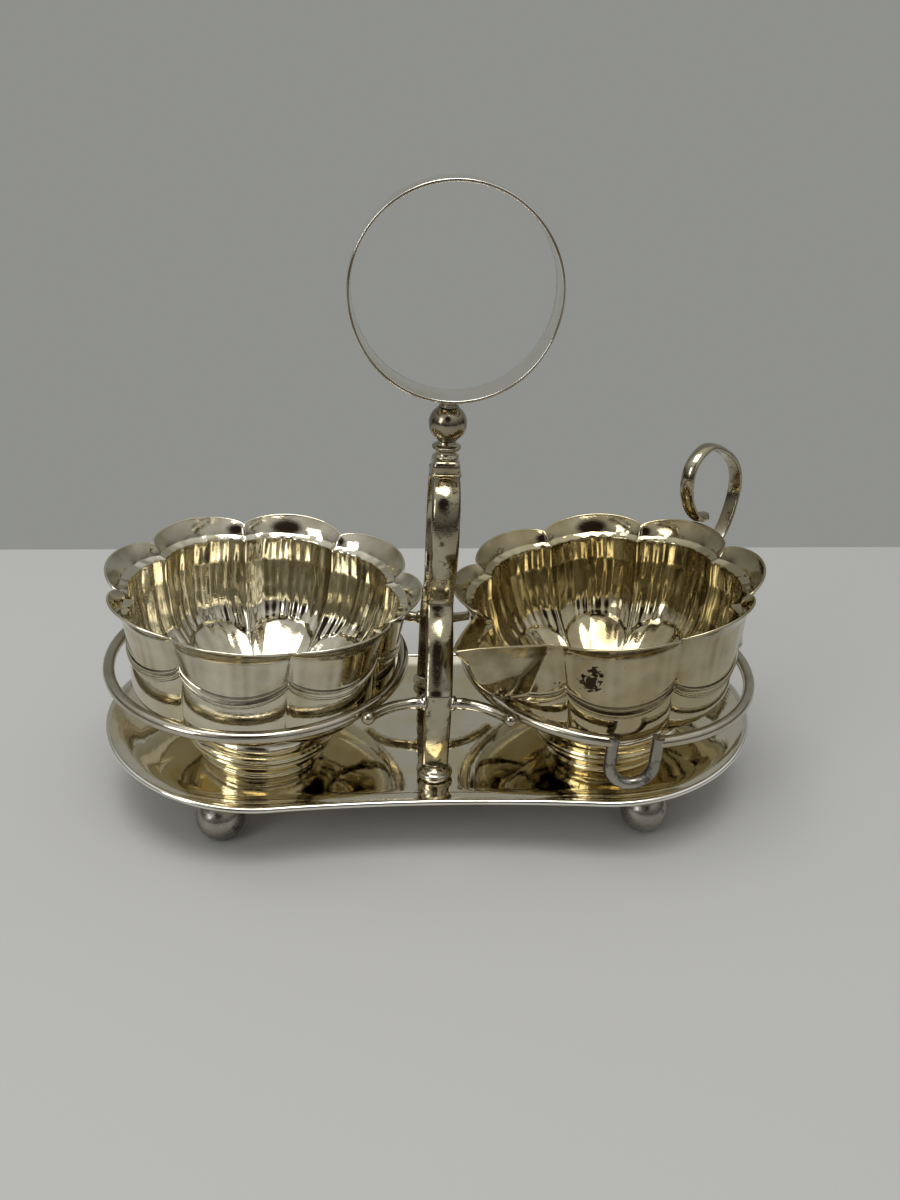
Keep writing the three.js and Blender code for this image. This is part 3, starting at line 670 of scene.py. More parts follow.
def cushion_block(name, width, depth, levels, count=64):
    """A block with rounded corners whose sides follow [inset, height] levels, closed on top."""
    cosine, sine = np.cos(round_the_axis(count)), np.sin(round_the_axis(count))
    rows = [np.tile([0.0, 0.0, levels[0][1]], (count, 1))]
    for inset, z in levels:
        x = (width / 2 - inset) * np.sign(cosine) * np.abs(cosine) ** cap_squareness
        y = (depth / 2 - inset) * np.sign(sine) * np.abs(sine) ** cap_squareness
        rows.append(np.column_stack([x, y, np.full(count, z)]))
    rows.append(np.tile([0.0, 0.0, levels[-1][1]], (count, 1)))
    return solid_of(name, leaned(np.concatenate(rows)), woven_faces(len(rows), count))


def leaned_turned(name, profile, segments, z):
    net = turned_net(profile, segments) + (0, 0, z)
    return solid_of(name, leaned(net), woven_faces(len(profile), segments))


cap_levels = [(0.9, -1.6), (0.35, -1.45), (0.1, -1.0), (0.35, -0.5), (0.75, -0.3), (0.6, 0.3)]
cap_levels += [(0.65, 1.6), (0.85, 2.6), (1.4, 3.3), (2.2, 3.7), (3.0, 3.8)]
cap_levels = [(inset, cap_z + up) for inset, up in cap_levels]
cap = cushion_block("arch_cap_block", cap_width, cap_depth, cap_levels)
neck_steps = [(0.6, 0), (0.65, 0.3), (0.2, 0.6), (-0.3, 1.2), (-0.35, 1.9), (0, 2.3)]
neck_profile = [(0, 0), *set_out(neck_radius, neck_steps)]
neck_profile += [*arc((disc_radius - 0.6, 3.1), (0.6, 0.65), -1.4, 1.4, 11)]
neck_profile += [*set_out(neck_radius, [(-0.2, 4.0), (-0.5, 4.5), (-0.6, 5.3)]), (0, 5.4)]
neck = leaned_turned("turned_neck", neck_profile, 48, neck_z)
knop_end = knop_radius - knop_flat
knop_profile = [(0, -knop_end), *ball_rows(knop_radius, 0, -knop_end, knop_end, 28), (0, knop_end)]
knop = leaned_turned("turned_ball_knop", knop_profile, 48, knop_z)
saddle_steps = [(0.5, -0.2), (0.1, 0.3), (-0.3, 0.8), (0, 1.4), (0.8, 1.85)]
saddle_profile = [(0, -0.2), *set_out(saddle_radius, saddle_steps), (0, 2.0)]
saddle = leaned_turned("handle_solder_saddle", saddle_profile, 40, saddle_z)
for piece, stood_for, finish, slot in (
    (cap, "arch_cap", strap_finish, "worn_plate"),
    (neck, "neck_collar", strap_finish, "worn_plate"),
    (knop, "ball_knop", dark_finish, "aged_plate"),
    (saddle, "handle_saddle", dark_finish, "aged_plate"),
):
    piece.data.materials.append(finish)
    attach(piece, "stand")
    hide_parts(stood_for)

# The ring handle. A strip of plated metal, flat inside and crowned outside, bent into a ring and
# soldered shut at the saddle; its narrow edges take the darker finish.
handle_radius = 30.4
handle_width = 13.0
handle_thickness = 1.2
handle_crown = 0.35
handle_edge = 0.28
handle_edge_squareness = 0.85
handle_z = 166.15
ring_section = half_round(handle_width, handle_thickness, handle_crown, handle_edge)
ring_reach = handle_radius + ring_section[:, 1]
ring_rows = []
for angle in round_the_axis(160):
    bent = [ring_reach * math.cos(angle), ring_section[:, 0], handle_z + ring_reach * math.sin(angle)]
    ring_rows.append(np.column_stack(bent))
ring_faces = woven_faces(len(ring_rows), len(ring_section), closed=True)
ring = solid_of("carrying_ring", leaned(np.concatenate(ring_rows)), ring_faces)
ring.data.materials.append(bright_finish)
darkened_edges(ring, 1, handle_edge_squareness)
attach(ring, "stand")
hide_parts("ring_handle")

# The gallery. Two rings of plated wire, the right-hand one cut in front where a U of the same wire
# is soldered in to take the jug's handle, are carried from the legs by four arms with ball tips.
gallery_wire = 1.9
gallery_radius = 48.1
gallery_x = 58.9
gallery_z = 45.4
notch_half = 6.9
notch_depth = 15.5
notch_top = gallery_wire * 0.9
arm_start_x = strap_width / 2 - 0.4
arm_bow = 1.5
arm_radius = 1.7
arm_sides = 20
arm_root_swell, arm_root_length = 0.75, 1.5
arm_bead_swell, arm_bead_at, arm_bead_length = 0.3, 3.2, 1.6
arm_tip_radius = 2.2
arm_tip_gap = 0.1


def level_line(flat):
    """A ring's middle line, from its points as seen from above."""
    return leaned(np.column_stack([flat, np.full(len(flat), gallery_z)]))


notch_cut = math.asin(notch_half / gallery_radius)
cut_start, cut_end = notch_cut - math.pi / 2, 1.5 * math.pi - notch_cut
left_line = level_line(arc((-gallery_x, 0), gallery_radius, 0, 2 * math.pi, 145)[:-1])
right_line = level_line(arc((gallery_x, 0), gallery_radius, cut_start, cut_end, 140))
left_ring = wire_along("left_wire_ring", left_line, gallery_wire, worn_finish, True, 20)
right_ring = wire_along("right_wire_ring", right_line, gallery_wire, worn_finish, False, 20)
notch_y = -math.sqrt(gallery_radius**2 - notch_half**2)
notch_side = np.array([(notch_half, z) for z in (notch_top, 0, -2, -4, -6)])
notch_bend = arc((0, notch_half - notch_depth), notch_half, math.pi, 2 * math.pi, 21)
across, up = np.concatenate([notch_side * (-1, 1), notch_bend, notch_side[::-1]]).T
notch_line = leaned(np.column_stack([gallery_x + across, np.full(len(up), notch_y), gallery_z + up]))
notch = wire_along("jug_handle_notch", notch_line, gallery_wire, aged_finish, False, 24)
for piece, stood_for, slot in (
    (left_ring, "left_gallery_ring", "worn_plate"),
    (right_ring, "right_gallery_ring", "worn_plate"),
    (notch, "handle_notch_loop", "aged_plate"),
):
    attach(piece, "stand")
    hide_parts(stood_for)


def arm_net(line, radii):
    """A tapering round arm along a level line."""
    along = np.gradient(line, axis=0)
    along /= np.linalg.norm(along, axis=1)[:, None]
    up = np.array([0, 0, 1.0])
    cosine, sine = np.cos(round_the_axis(arm_sides)), np.sin(round_the_axis(arm_sides))
    rows = []
    for middle, beside, radius in zip(line, np.cross(along, up), radii):
        rows.append(middle + radius * (np.outer(cosine, beside) + np.outer(sine, up)))
    return np.concatenate(rows)


tip_reach = gallery_radius + gallery_wire + arm_tip_radius + arm_tip_gap
tip_slant = math.pi / 4
tip_at = np.array([gallery_x - tip_reach * math.cos(tip_slant), tip_reach * math.sin(tip_slant), 0])
arm_start = np.array([arm_start_x, leg_y, 0])
arm_bend = np.array([(arm_start_x + tip_at[0]) / 2 + arm_bow, leg_y, 0])
done = np.linspace(0, 1, 40)[:, None]
arm_line = (1 - done) ** 2 * arm_start + 2 * done * (1 - done) * arm_bend + done**2 * tip_at
arm_run = run_along(arm_line)
arm_radii = arm_radius + arm_root_swell * (arm_run < arm_root_length)
arm_radii += arm_bead_swell * np.exp(-(((arm_run - arm_bead_at) / arm_bead_length) ** 2))
tip_direction = (arm_line[-1] - arm_line[-3]) / np.linalg.norm(arm_line[-1] - arm_line[-3])
before_tip = arm_run[-1] - arm_run >= arm_tip_radius * 0.95
tip_angles = np.linspace(0.55 * math.pi + 0.35, 0.02, 16)
tip_line = tip_at + arm_tip_radius * np.outer(np.cos(tip_angles), tip_direction)
arm_line = np.vstack([arm_line[before_tip], tip_line])
arm_radii = np.concatenate([arm_radii[before_tip], arm_tip_radius * np.sin(tip_angles)])
arm_faces = capped_faces(len(arm_line), arm_sides)
for end, end_side in (("left", -1), ("right", 1)):
    for depth, side in (("front", -1), ("rear", 1)):
        net = arm_net(arm_line, arm_radii) * (end_side, side, 1) + (0, 0, gallery_z)
        arm = solid_of(f"{depth}_{end}_ring_arm", leaned(net), arm_faces)
        arm.data.materials.append(worn_finish)
        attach(arm, "stand")
        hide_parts(f"{depth}_{end}_bracket_arm")

# The sugar bowl. A bowl of plated sheet pressed in eight lobes: a double step moulding swags round
# it, and above a sharp crease the rim flares out into eight petals. Its turned foot is soldered on.
lobes = 8
columns_per_lobe = 56
vessel_wall = 0.75
vessel_lift = 0.3
foot_ring_radius = 25.5
foot_ring_height = 8.0
foot_ring_neck = 20.4
foot_settling = 0.18
vessel_bottom = foot_ring_height + 0.1
base_radius = 20.0
belly_radius = 44.2
belly_z = 24.5
lower_curve = [(0, 0), (0.18, 0.09), (0.41, 0.21), (0.63, 0.37), (0.82, 0.57), (0.95, 0.79), (1, 1)]
outer_cusp = 2.4
step_out = 0.7
step_height = 4.3
step_swag, step_swag_fall, wall_swag = 6.5, 0.25, 5.4
crease_radius = 46.9
crease_z = 50.3
crease_cusp = 2.1
rim_radius = 51.1
rim_z = 56.4
petal_cusp = 5.2
petal_drop = -2.6
wall_roundness, petal_roundness = 0.62, 0.58
dome_top = 21.0
dome_drop = 7.0
dome_swell = 0.45
dome_crease = 0.16
inner_cusp = 3.4
pleat_base = 0.16
pleat_depth = 0.26
crease_width = 1.3
frill_in, frill_up = 0.05, 0.15
# petal_shade: the painted shade on the inner petals; outer_mark: an even darkening of the outer face.
petal_shade, outer_mark = 0.75, 0.3
out_of_round, out_of_level = 0.10, 0.18
sugar_place = (-58.7, 0.8, math.radians(-7))
sugar_step_z = 34.0
sugar_seed = 11


def evenly(rows, count):
    """The same run of rows, resampled at even steps of the length of their outline."""
    rows = np.asarray(rows, float)
    return sampled(rows, run_along(rows[:, :2]), count)


def lobe_inset(r):
    insets = [0, 0.8, 1.9, 2.3, 2.5, outer_cusp, crease_cusp]
    return np.interp(r, [base_radius, 28.5, 36, 39.2, 41.6, belly_radius, 47], insets)


def petal_rows(in_by, up_by, root_inset):
    """The flared rim's rows from the crease out: radius, height, cusp inset, cusp rise, petal share."""
    rows = []
    for t in np.linspace(0, 1, 40):
        r = crease_radius + (rim_radius - crease_radius) * (0.6 * t + 0.4 * t**2) - in_by
        z = crease_z + (rim_z - crease_z) * t + up_by * t
        bend = t**1.2
        rows.append([r, z, root_inset + (petal_cusp - root_inset) * bend, petal_drop * bend, t])
    return evenly(rows, 14)[1:]


def outer_rows(step_z):
    """Rows of the outer face from the axis to the rim, in the same five columns."""
    base = np.array([[r, vessel_bottom, 0, 0, 0] for r in np.linspace(0, base_radius, 6)])
    line = []
    for out, up in lower_curve:
        r = base_radius + (belly_radius - base_radius) * out
        line.append((r, vessel_bottom + (belly_z - vessel_bottom) * up))
    lower = smooth_line(line + [(belly_radius, step_z)], 34)
    rise = np.interp(lower[:, 1] - step_z, [-16, -9, -3, 0], [0, 1.2, 5.2, step_swag])
    lower = np.column_stack([lower, lobe_inset(lower[:, 0]), rise, np.zeros(len(lower))])[1:]
    steps = [(0.2, -0.15), (0.6, 0.4), (1.1, 1.1), (1.6, 1.3), (2.1, 1.1), (2.45, 0.4)]
    steps += [(2.7, 0.3), (3.05, 0.85), (3.5, 1.2), (3.9, 1.15), (step_height, step_out)]
    moulding = []
    for up, out in steps:
        moulding.append([belly_radius + out, step_z + up, outer_cusp, step_swag - step_swag_fall * up, 0])
    wall_low, wall_start = step_z + step_height, belly_radius + step_out
    wall = []
    for t in np.linspace(0, 1, 60):
        r = wall_start + (crease_radius - wall_start) * (0.75 * t + 0.25 * t**2)
        z = wall_low + (crease_z - wall_low) * t
        wall.append([r, z, outer_cusp + (crease_cusp - outer_cusp) * t, wall_swag * (1 - t), 0])
    return np.concatenate([base, lower, moulding, evenly(wall, 18)[1:], petal_rows(0, 0, crease_cusp)])


def inner_rows(step_z):
    """Rows of the inner face: flat floor, eight shallow domes, then a tall wall up to the crease."""
    floor_z = vessel_bottom + 1.0
    flat_floor = np.array([[r, floor_z, 0, 0, 0] for r in np.linspace(0, base_radius - 1, 6)])
    line = [(base_radius - 1, floor_z), (20.6, 9.6), (24.5, 12.0), (29.0, 15.0), (33.0, 18.0)]
    line += [(36.2, dome_top), (39.2, 24.5), (41.3, 29.0), (42.8, 35.0), (44.2, 42.0), (45.4, 47.5)]
    line = smooth_line(line + [(46.05, crease_z)], 60)[1:]
    outer_wall = outer_rows(step_z)[5:51]
    thinnest = np.interp(line[:, 1], outer_wall[:, 1], outer_wall[:, 0]) - 0.9
    inset = np.interp(line[:, 1], [9, 20, 34, crease_z], [0, 2.4, inner_cusp, inner_cusp])
    flat = np.zeros(len(line))
    wall = np.column_stack([np.minimum(line[:, 0], thinnest), line[:, 1], inset, flat, flat])
    return np.concatenate([flat_floor, wall, petal_rows(vessel_wall, 0.2, inner_cusp)])


def wobble(angle, seed, waves):
    """A smooth closed wobble round the vessel, the same on every run."""
    rng = np.random.default_rng(seed)
    total = np.zeros_like(angle)
    for wave in waves:
        total += rng.uniform(0.5, 1.0) * np.sin(wave * angle + rng.uniform(0, 2 * math.pi))
    return total / math.sqrt(len(waves))


def inner_face(radius, height, angle, seed, r, z, share, bow):
    """The inner face with its upright ripples, creased domes and ragged crease, and its painted shade:
    dark streaks down the wall, on the domes and over the petals.
    """
    across = np.arccos(np.clip(bow, 0, 1)) / (math.pi / 2)
    dome_line = dome_top - dome_drop * (1 - np.sqrt(1 - across**2))
    above = np.clip((height - dome_line) / 0.9, 0, 1)
    wall = above * np.clip((crease_z + 0.3 - height) / 1.5, 0, 1)
    domed = (1 - above) * np.clip((r - 22) / 6, 0, 1)
    radius = radius + domed * (dome_swell + dome_crease * wobble(angle, seed + 7, [13, 29, 41]))
    sway = angle + 0.012 * np.sin(height / 7 + 3 * angle)
    depth = pleat_depth * (1 + 0.5 * np.sin(height / 2.4 + 11 * angle))
    radius = radius - wall * (pleat_base + depth * wobble(sway, seed + 2, [31, 43, 59, 71, 83]))
    # Painted shade: upright dark streaks down the wall, standing in for the streaks of reflection in its
    # ripples.
    streak = np.clip(0.42 + 0.55 * wobble(sway, seed + 4, [23, 37, 53, 71, 89, 97]), 0, 1)
    shadow = np.clip(0.5 + 0.5 * wobble(angle, seed + 5, [3, 5, 9, 13]), 0, 1)
    near_crease = np.exp(-(((z - crease_z) / crease_width) ** 2))
    frill = near_crease * wobble(angle, seed + 3, [17, 29, 44, 57])
    # The painted shade: streaks on the wall, darker domes that tone down the lamp's reflection in them,
    # and darker petals.
    mark = wall * streak + domed * (0.4 + 0.6 * shadow) + petal_shade * share
    return radius - frill_in * frill, height + frill_up * frill, mark


def lobed_face(rows, angle, seed, in_by, pleats_and_painted_shade, eased, drawn):
    """A net of points of one face of a vessel, from its rows and its columns' angles.
    eased, drawn: what a vessel does to its outer cusps and to its whole face, or None."""
    bow = np.abs(np.cos(lobes / 2 * angle))
    r, z, inset, rise, share = (rows[:, k][:, None] for k in range(5))
    lobe = bow**wall_roundness * (1 - share) + bow**petal_roundness * share
    if eased and not pleats_and_painted_shade:
        inset = inset * eased(z, share)
    radius, height = r - inset * (1 - lobe), z + rise * (1 - lobe)
    if pleats_and_painted_shade:
        radius, height, mark = inner_face(radius, height, angle, seed, r, z, share, bow)
    else:
        # Outer marks: an even darkening, faint upright streaks high on the wall, and painted shade on the
        # petals.
        streak = np.clip(0.4 + 0.5 * wobble(angle, seed + 6, [13, 29, 47, 71, 89]), 0, 1)
        mark = outer_mark + 0.42 * streak * np.clip((height - 30) / 10, 0, 1) + 0.2 * share
    settled = np.clip(height / 40, 0, 1)
    radius = radius + out_of_round * wobble(angle, seed, [3, 5, 7]) * settled
    height = height + out_of_level * wobble(angle, seed + 1, [2, 3, 5]) * settled**2
    if drawn:
        radius, height = drawn(radius, height, angle, in_by)
    return np.stack([radius * np.cos(angle), radius * np.sin(angle), height], 2), mark


def vessel_net(step_z, seed, eased, drawn):
    """Outer face, rounded rim and inner face as one closed net, and the painted shade marked on that net.
    """
    angle = round_the_axis(lobes * columns_per_lobe)
    outer, plain = lobed_face(outer_rows(step_z), angle, seed, 0, False, eased, drawn)
    inner, painted_shade = lobed_face(inner_rows(step_z), angle, seed, vessel_wall, True, eased, drawn)
    rim_outer, rim_inner = outer[-1], inner[-1]
    across, middle = rim_outer - rim_inner, (rim_outer + rim_inner) / 2
    upward = np.cross(np.roll(rim_outer, -1, 0) - np.roll(rim_outer, 1, 0), across)
    upward /= np.linalg.norm(upward, axis=1)[:, None]
    upward *= np.sign(upward[:, 2:3]) * vessel_wall / 2
    rim_turns = np.linspace(0, math.pi, 7)[1:-1]
    rim = [middle + across / 2 * math.cos(turn) + upward * math.sin(turn) for turn in rim_turns]
    net = np.concatenate([outer, rim, inner[::-1]])
    return net, np.concatenate([plain, np.zeros((len(rim), len(angle))), painted_shade[::-1]])


def stood(points, place):
    """A vessel's points set down on the bowed tray, turned on its foot and tilted as the sheet is."""
    x, y, turn = place
    points = np.asarray(points, float).reshape(-1, 3)
    up = points[:, 2]
    across = points[:, 0] * math.cos(turn) - points[:, 1] * math.sin(turn)
    deep = points[:, 0] * math.sin(turn) + points[:, 1] * math.cos(turn)
    cosine, sine = math.cos(-tray_slope(x)), math.sin(-tray_slope(x))
    lift = tray_top(x) + tray_bow * (foot_ring_radius / half_length) ** 2 + vessel_lift
    return np.column_stack([x + across * cosine + up * sine, y + deep, lift - across * sine + up * cosine])


vessel_finish = plate(
    "vessel_silver_plate",
    bright=(0.75, 0.71, 0.58), yellowed=(0.69, 0.62, 0.44), spotted=(0.27, 0.22, 0.14),
    gloss=0.03, worn_gloss=0.09, spot_cover=0.31, waviness=0.28, wave_size=120.0, painted_shade_strength=0.85,
)
foot_rows = set_out(foot_ring_neck, [(-1.2, 8.1), (-1.4, 6.6), (-0.5, 4.0)])
foot_steps = [(-3.1, 1.5), (-1.3, 0.2), (-1.0, 0), (-0.2, 0), (0, 0.2), (0, 0.9)]
foot_rows += set_out(foot_ring_radius, [*foot_steps, (-0.3, 1.2), (-1.0, 1.3), (-1.3, 1.7)])
hollow_start, hollow_end = -math.pi / 2 - 0.12, -math.pi / 2 - 1.5
foot_rows += [*arc((foot_ring_neck + 3.8, 6.8), (3.6, 5.0), hollow_start, hollow_end, 14)]
foot_rows += set_out(foot_ring_neck, [(0.5, 7.0), (0.8, 7.35), (0.75, 7.7), (0.3, 8.0), (-0.6, 8.15)])


def vessel_foot(name, place, segments=96, settles_below=3):
    """A turned foot ring whose lower edge settles on the bowed sheet."""
    net = turned_net(foot_rows, segments)
    round_turn = np.tile(round_the_axis(segments) + place[2], len(foot_rows))
    sheet_falls = foot_settling + tray_bow * (foot_ring_radius * np.sin(round_turn) / half_length) ** 2
    net[:, 2] -= sheet_falls * np.maximum(0, 1 - net[:, 2] / settles_below)
    faces = woven_faces(len(foot_rows), segments, closed=True)
    return solid_of(name, stood(net, place), faces)


def vessel_body(name, place, step_z, seed, eased=None, drawn=None):
    """A pressed vessel with its step at a height; seed: its own slight unevenness."""
    net, painted_shade = vessel_net(step_z, seed, eased, drawn)
    return solid_of(name, stood(net, place), woven_faces(*net.shape[:2]), pleats_and_painted_shade=painted_shade.ravel())


sugar = vessel_body("lobed_sugar_bowl", sugar_place, sugar_step_z, sugar_seed)
sugar.data.materials.append(vessel_finish)
sugar_foot = vessel_foot("sugar_bowl_turned_foot", sugar_place)
sugar_foot.data.materials.append(tray_finish)
for piece, stood_for in ((sugar, "sugar_bowl_body"), (sugar_foot, "sugar_bowl_foot")):
    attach(piece, "sugar_bowl")
    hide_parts(stood_for)

# The cream jug. Pressed from the same sheet as the bowl, but with its step lower and one lobe drawn
# out into a beak. Tarnish has bitten dark blots into its front wall.
jug_place = (61.4, 0.8, math.radians(40.5))
jug_step_z = 29.0
jug_seed = 23
cusp_easing, easing_starts, easing_height = 0.45, 3, 4
beak_tip = 71.8
beak_round = math.radians(1.2)
beak_heights = [29.5, 33, 37, 43.5, 48, 51, 54, 56.4]
beak_pulls = [0, 0.3, 0.51, 0.70, 0.76, 0.81, 0.91, 1]
beak_root = 46.2
beak_pinch = 0.7
beak_tip_rise = 2.0
jug_rim_lift = 1.8
rim_high_side = math.radians(330) - jug_place[2]
jug_finish = plate(
    "jug_silver_plate",
    bright=(0.55, 0.49, 0.33), yellowed=(0.50, 0.42, 0.25), spotted=(0.25, 0.20, 0.12),
    gloss=0.03, worn_gloss=0.09, spot_cover=0.34, waviness=0.28, wave_size=120.0, painted_shade_strength=0.85,
)
bitten_tone = (0.045, 0.032, 0.02)
bitten_roughness = 0.45


def eased_cusps(z, share):
    """How much of each outer cusp is left: above its step the jug's wall is smoother."""
    above_step = np.clip((z - jug_step_z - easing_starts) / easing_height, 0, 1)
    return 1 - cusp_easing * above_step * (1 - share)


def drawn_beak(radius, height, angle, in_by):
    """One lobe's upper part pulled out to a point, and the rim a little higher towards it."""
    away = np.abs(angle % (2 * math.pi) - math.pi)
    half = math.pi / lobes
    soft = np.sqrt(away**2 + beak_round**2)
    tip, root = beak_tip - 2 * in_by, beak_root - in_by
    pinched = np.clip((rim_z - 0.5 - height) / 22, 0, 1) ** 0.75
    spread = half * (1 - beak_pinch * pinched)
    sides = tip * np.sin(soft) + root * np.sin(np.maximum(spread - soft, 0.0))
    line = tip * root * np.sin(spread) / sides
    inside = away < half
    pull = np.interp(height, beak_heights, beak_pulls)
    radius = radius + np.where(inside, np.maximum(0, line - radius) * pull, 0)
    rise = np.clip((height - 48) / 8, 0, 1) * np.clip((line - 50) / 15, 0, 1)
    height = height + np.where(inside, beak_tip_rise * rise, 0)
    share = np.clip(height / rim_z, 0, 1) ** 2 * radius / rim_radius
    return radius, height + jug_rim_lift * np.cos(angle - rim_high_side) * share


def blot_group():
    """Blot: a ragged dark bite in the plate, round a centre given in object coordinates."""
    inputs = {"Centre": ("Vector", (0, 0, 0)), "Radius": ("Float", 0.002)}
    group, entry, leave = new_group("bitten_blot", "ShaderNodeTree", inputs, {"Blot": "Float"})
    place = object_place(group)
    ragged = noise(group, place, 900.0, Detail=4.0)
    ends = {0: place, 1: entry["Centre"]}
    away = node(group, "ShaderNodeVectorMath", ends, operation="DISTANCE").outputs["Value"]
    share = worked(group, "DIVIDE", away, entry["Radius"])
    broken = worked(group, "MULTIPLY_ADD", ragged, 3.2, share)
    fill(group, leave, {"Blot": ranged(group, broken, 2.35, 2.6, to_low=1.0, to_high=0.0)})
    return group


# The bites on the front wall, right of the beak: place about the tray's middle, and radius.
blots = [
    ((45.1, -42.9, 61.5), 3.3),
    ((45.9, -43.4, 66.2), 1.8),
    ((48.0, -43.7, 65.3), 1.1),
    ((35.8, -38.9, 58.3), 1.3),
    ((43.2, -42.4, 63.6), 0.8),
]
blot = blot_group()
tree = jug_finish.node_tree
shader = tree.nodes["Principled BSDF"]
colour = shader.inputs["Base Color"].links[0].from_socket
rough = shader.inputs["Roughness"].links[0].from_socket
for place, radius in blots:
    bite = {"Centre": list((middle_shift + place) * mm), "Radius": radius * mm}
    bitten = placed_group(tree, blot, bite)["Blot"]
    colour = mixed(tree, bitten, colour, (*bitten_tone, 1))
    rough = worked(tree, "MULTIPLY_ADD", bitten, bitten_roughness, rough, clamp=True)
fill(tree, shader, {"Base Color": colour, "Roughness": rough})
jug = vessel_body("lobed_cream_jug", jug_place, jug_step_z, jug_seed, eased_cusps, drawn_beak)
jug.data.materials.append(jug_finish)
jug_foot = vessel_foot("cream_jug_turned_foot", jug_place)
jug_foot.data.materials.append(tray_finish)
for piece, stood_for in ((jug, "cream_jug_body"), (jug_foot, "cream_jug_foot")):
    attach(piece, "cream_jug")
    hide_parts(stood_for)

# The jug's handle. A half-round strap of plated metal soldered to the rim with a small leaf, looped
# up and over, and brought back down to the wall, where it spreads a little.
handle_strap_width = 5.2
handle_strap_thickness = 2.4
handle_strap_crown = 0.9
handle_strap_edge = 0.6
leaf_length = 3.2
leaf_start, leaf_swell = 0.5, 1.25
leaf_narrows_in = 3
wall_spread, wall_spread_length = 0.45, 2.6
# The handle's middle line, as [out from the jug's axis, up] pairs.
handle_line = [(57.0, 58.0), (51.5, 58.6), (45.9, 64.5), (43.7, 72.6), (46.3, 80.5), (54.8, 84.4)]
handle_line += [(66.0, 79.8), (73.8, 72.4), (76.0, 64.9), (73.8, 56.4), (67.6, 46.9), (54.7, 40.6)]
handle_line += [(45.6, 35.8)]
loop_line = smooth_line(handle_line, 140)
loop_section = half_round(
    handle_strap_width, handle_strap_thickness, handle_strap_crown, handle_strap_edge
)
loop_run = run_along(loop_line)
loop_share = np.clip(leaf_start + loop_run / leaf_length, 0, leaf_swell)
loop_share -= (leaf_swell - 1) * np.clip((loop_run - leaf_length) / leaf_narrows_in, 0, 1)
loop_share += wall_spread * np.exp(-(((loop_run[-1] - loop_run) / wall_spread_length) ** 2))
net = strap_net(loop_line, -1, loop_section, narrowing=loop_share)[:, [1, 0, 2]]
loop_faces = capped_faces(len(loop_line), len(loop_section))
jug_loop = solid_of("cream_jug_strap_loop", stood(net, jug_place), loop_faces)
jug_loop.data.materials.append(strap_finish)
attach(jug_loop, "cream_jug")
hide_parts("cream_jug_handle")

# The table and the light: a plain pale floor that ends behind the stand, a large soft light
# overhead and a softer one from the left front. Sizes here are in metres.
table_reach = 3
table_back = 0.185
table_tone = (0.48, 0.48, 0.47)
table_roughness = 0.7
light_aim = Vector((0, 0, 0.05))
floor_corners = [(-table_reach, -table_reach, 0), (table_reach, -table_reach, 0)]
floor_corners += [(table_reach, table_back, 0), (-table_reach, table_back, 0)]
floor_mesh = bpy.data.meshes.new("pale_floor")
floor_mesh.from_pydata(floor_corners, [], [(0, 1, 2, 3)])
floor = linked("pale_floor", floor_mesh)
paint = bpy.data.materials.new("pale_boards")
paint.use_nodes = True
painted = {"Base Color": (*table_tone, 1), "Roughness": table_roughness}
fill(paint.node_tree, paint.node_tree.nodes["Principled BSDF"], painted)
floor.data.materials.append(paint)


def soft_light(name, place, width, height, power, colour):
    light = bpy.data.lights.new(name, "AREA")
    light.shape = "RECTANGLE"
    light.size, light.size_y = width, height
    light.energy = power
    light.color = colour
    lamp = linked(name, light)
    lamp.location = place
    lamp.rotation_euler = (light_aim - Vector(place)).to_track_quat("-Z", "Y").to_euler()


soft_light(
    "overhead_light", place=(-0.1, -0.15, 1.3), width=0.9, height=0.6, power=8.0, colour=(1.0, 0.98, 0.94)
)
soft_light(
    "window_light", place=(-1.1, -0.9, 0.8), width=0.5, height=0.8, power=4.2, colour=(0.96, 0.98, 1.0)
)

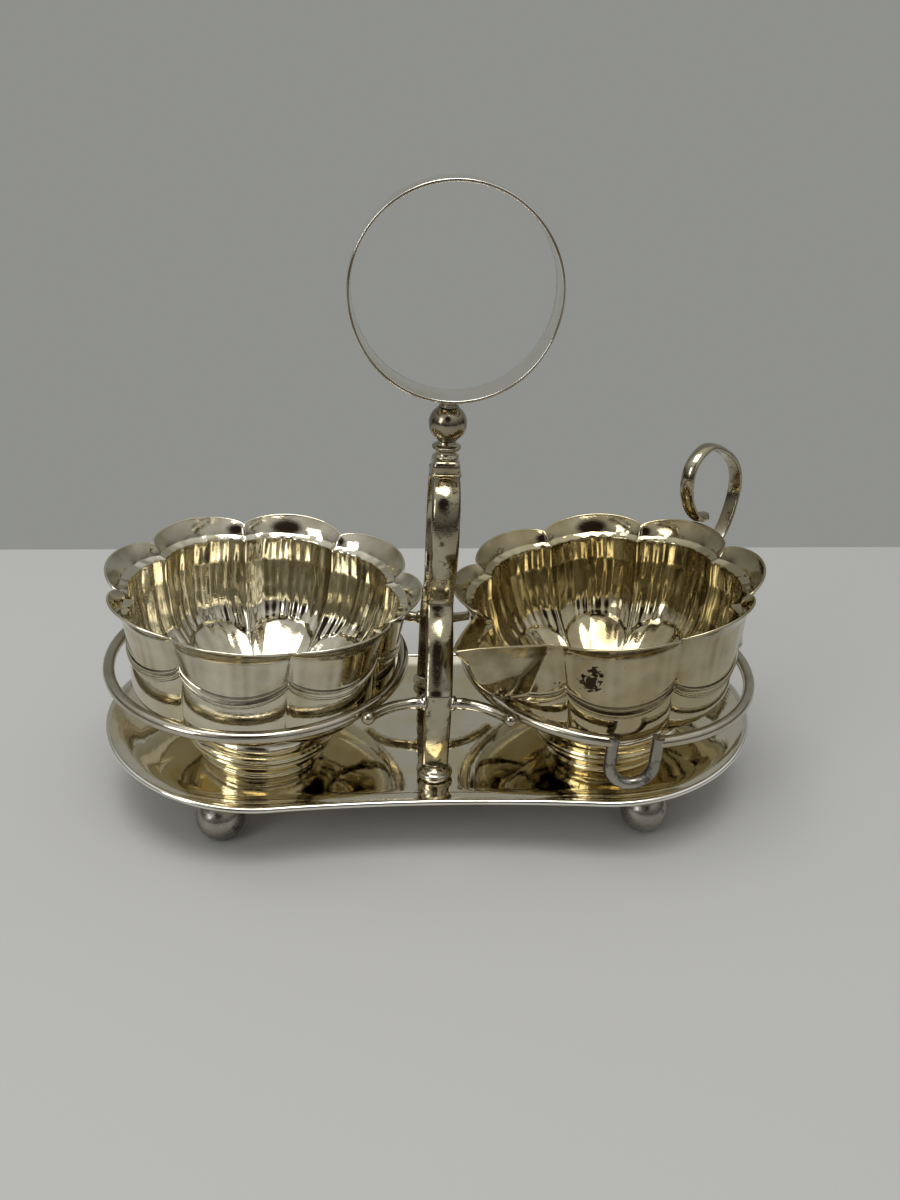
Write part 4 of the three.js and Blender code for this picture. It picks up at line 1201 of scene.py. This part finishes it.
# The room that the metal mirrors, in colours of direction only: dark below and pale above, with a
# dark doorway high in front and an even grey behind.
doorway_direction = (-0.05, -0.78, 0.62)
doorway_tone = (0.03, 0.02, 0.018)
behind_tone = (0.275, 0.28, 0.265)
room_tones = [(0.05, (0.05, 0.045, 0.04)), (0.35, (0.30, 0.295, 0.28)), (0.9, (0.75, 0.76, 0.76))]
world = bpy.data.worlds.new("room")
bpy.context.scene.world = world
world.use_nodes = True
tree = world.node_tree
direction = node(tree, "ShaderNodeTexCoord").outputs["Generated"]
split = node(tree, "ShaderNodeSeparateXYZ", {"Vector": direction}).outputs
ramp = node(tree, "ShaderNodeValToRGB", {"Fac": split["Z"]})
ramp.color_ramp.elements.new(room_tones[1][0])
for element, (position, tone) in zip(ramp.color_ramp.elements, room_tones):
    element.position = position
    element.color = (*tone, 1)
ends = {0: direction, 1: doorway_direction}
away = node(tree, "ShaderNodeVectorMath", ends, operation="DISTANCE").outputs["Value"]
past_doorway = ranged(tree, away, 0.22, 0.42, interpolation_type="SMOOTHSTEP")
behind = ranged(tree, split["Y"], 0.30, 0.55, interpolation_type="SMOOTHSTEP")
room = mixed(tree, past_doorway, (*doorway_tone, 1), ramp.outputs["Color"])
room = mixed(tree, behind, room, (*behind_tone, 1))
fill(tree, tree.nodes["Background"], {"Color": room, "Strength": 1.0})

bpy.context.scene.view_settings.view_transform = "Standard"

# The camera stands a little left of the middle and looks down on the set. Its place, in
# millimetres about the tray's middle, and its angles were fitted to the photograph's outlines.
focal_pixels = 1008.72
picture_height = 1200
sensor_width = 36.0
camera_place = (-14.24, -294.05, 221.84)
pitch, yaw, roll = math.radians(27.684), math.radians(-3.843), math.radians(1.447)
turned_aside, turned_over = Matrix.Rotation(yaw, 4, "Z"), Matrix.Rotation(roll, 4, "Z")
tipped_down = Matrix.Rotation(math.pi / 2 - pitch, 4, "X")
camera_data = bpy.data.cameras.new("photograph_view")
camera_data.sensor_width = sensor_width
camera_data.lens = focal_pixels * sensor_width / picture_height
camera_data.clip_start = 0.01
camera = linked("photograph_view", camera_data)
stood_at = Matrix.Translation(Vector((middle_shift + camera_place) * mm))
camera.matrix_world = stood_at @ turned_aside @ tipped_down @ turned_over
bpy.context.scene.camera = camera
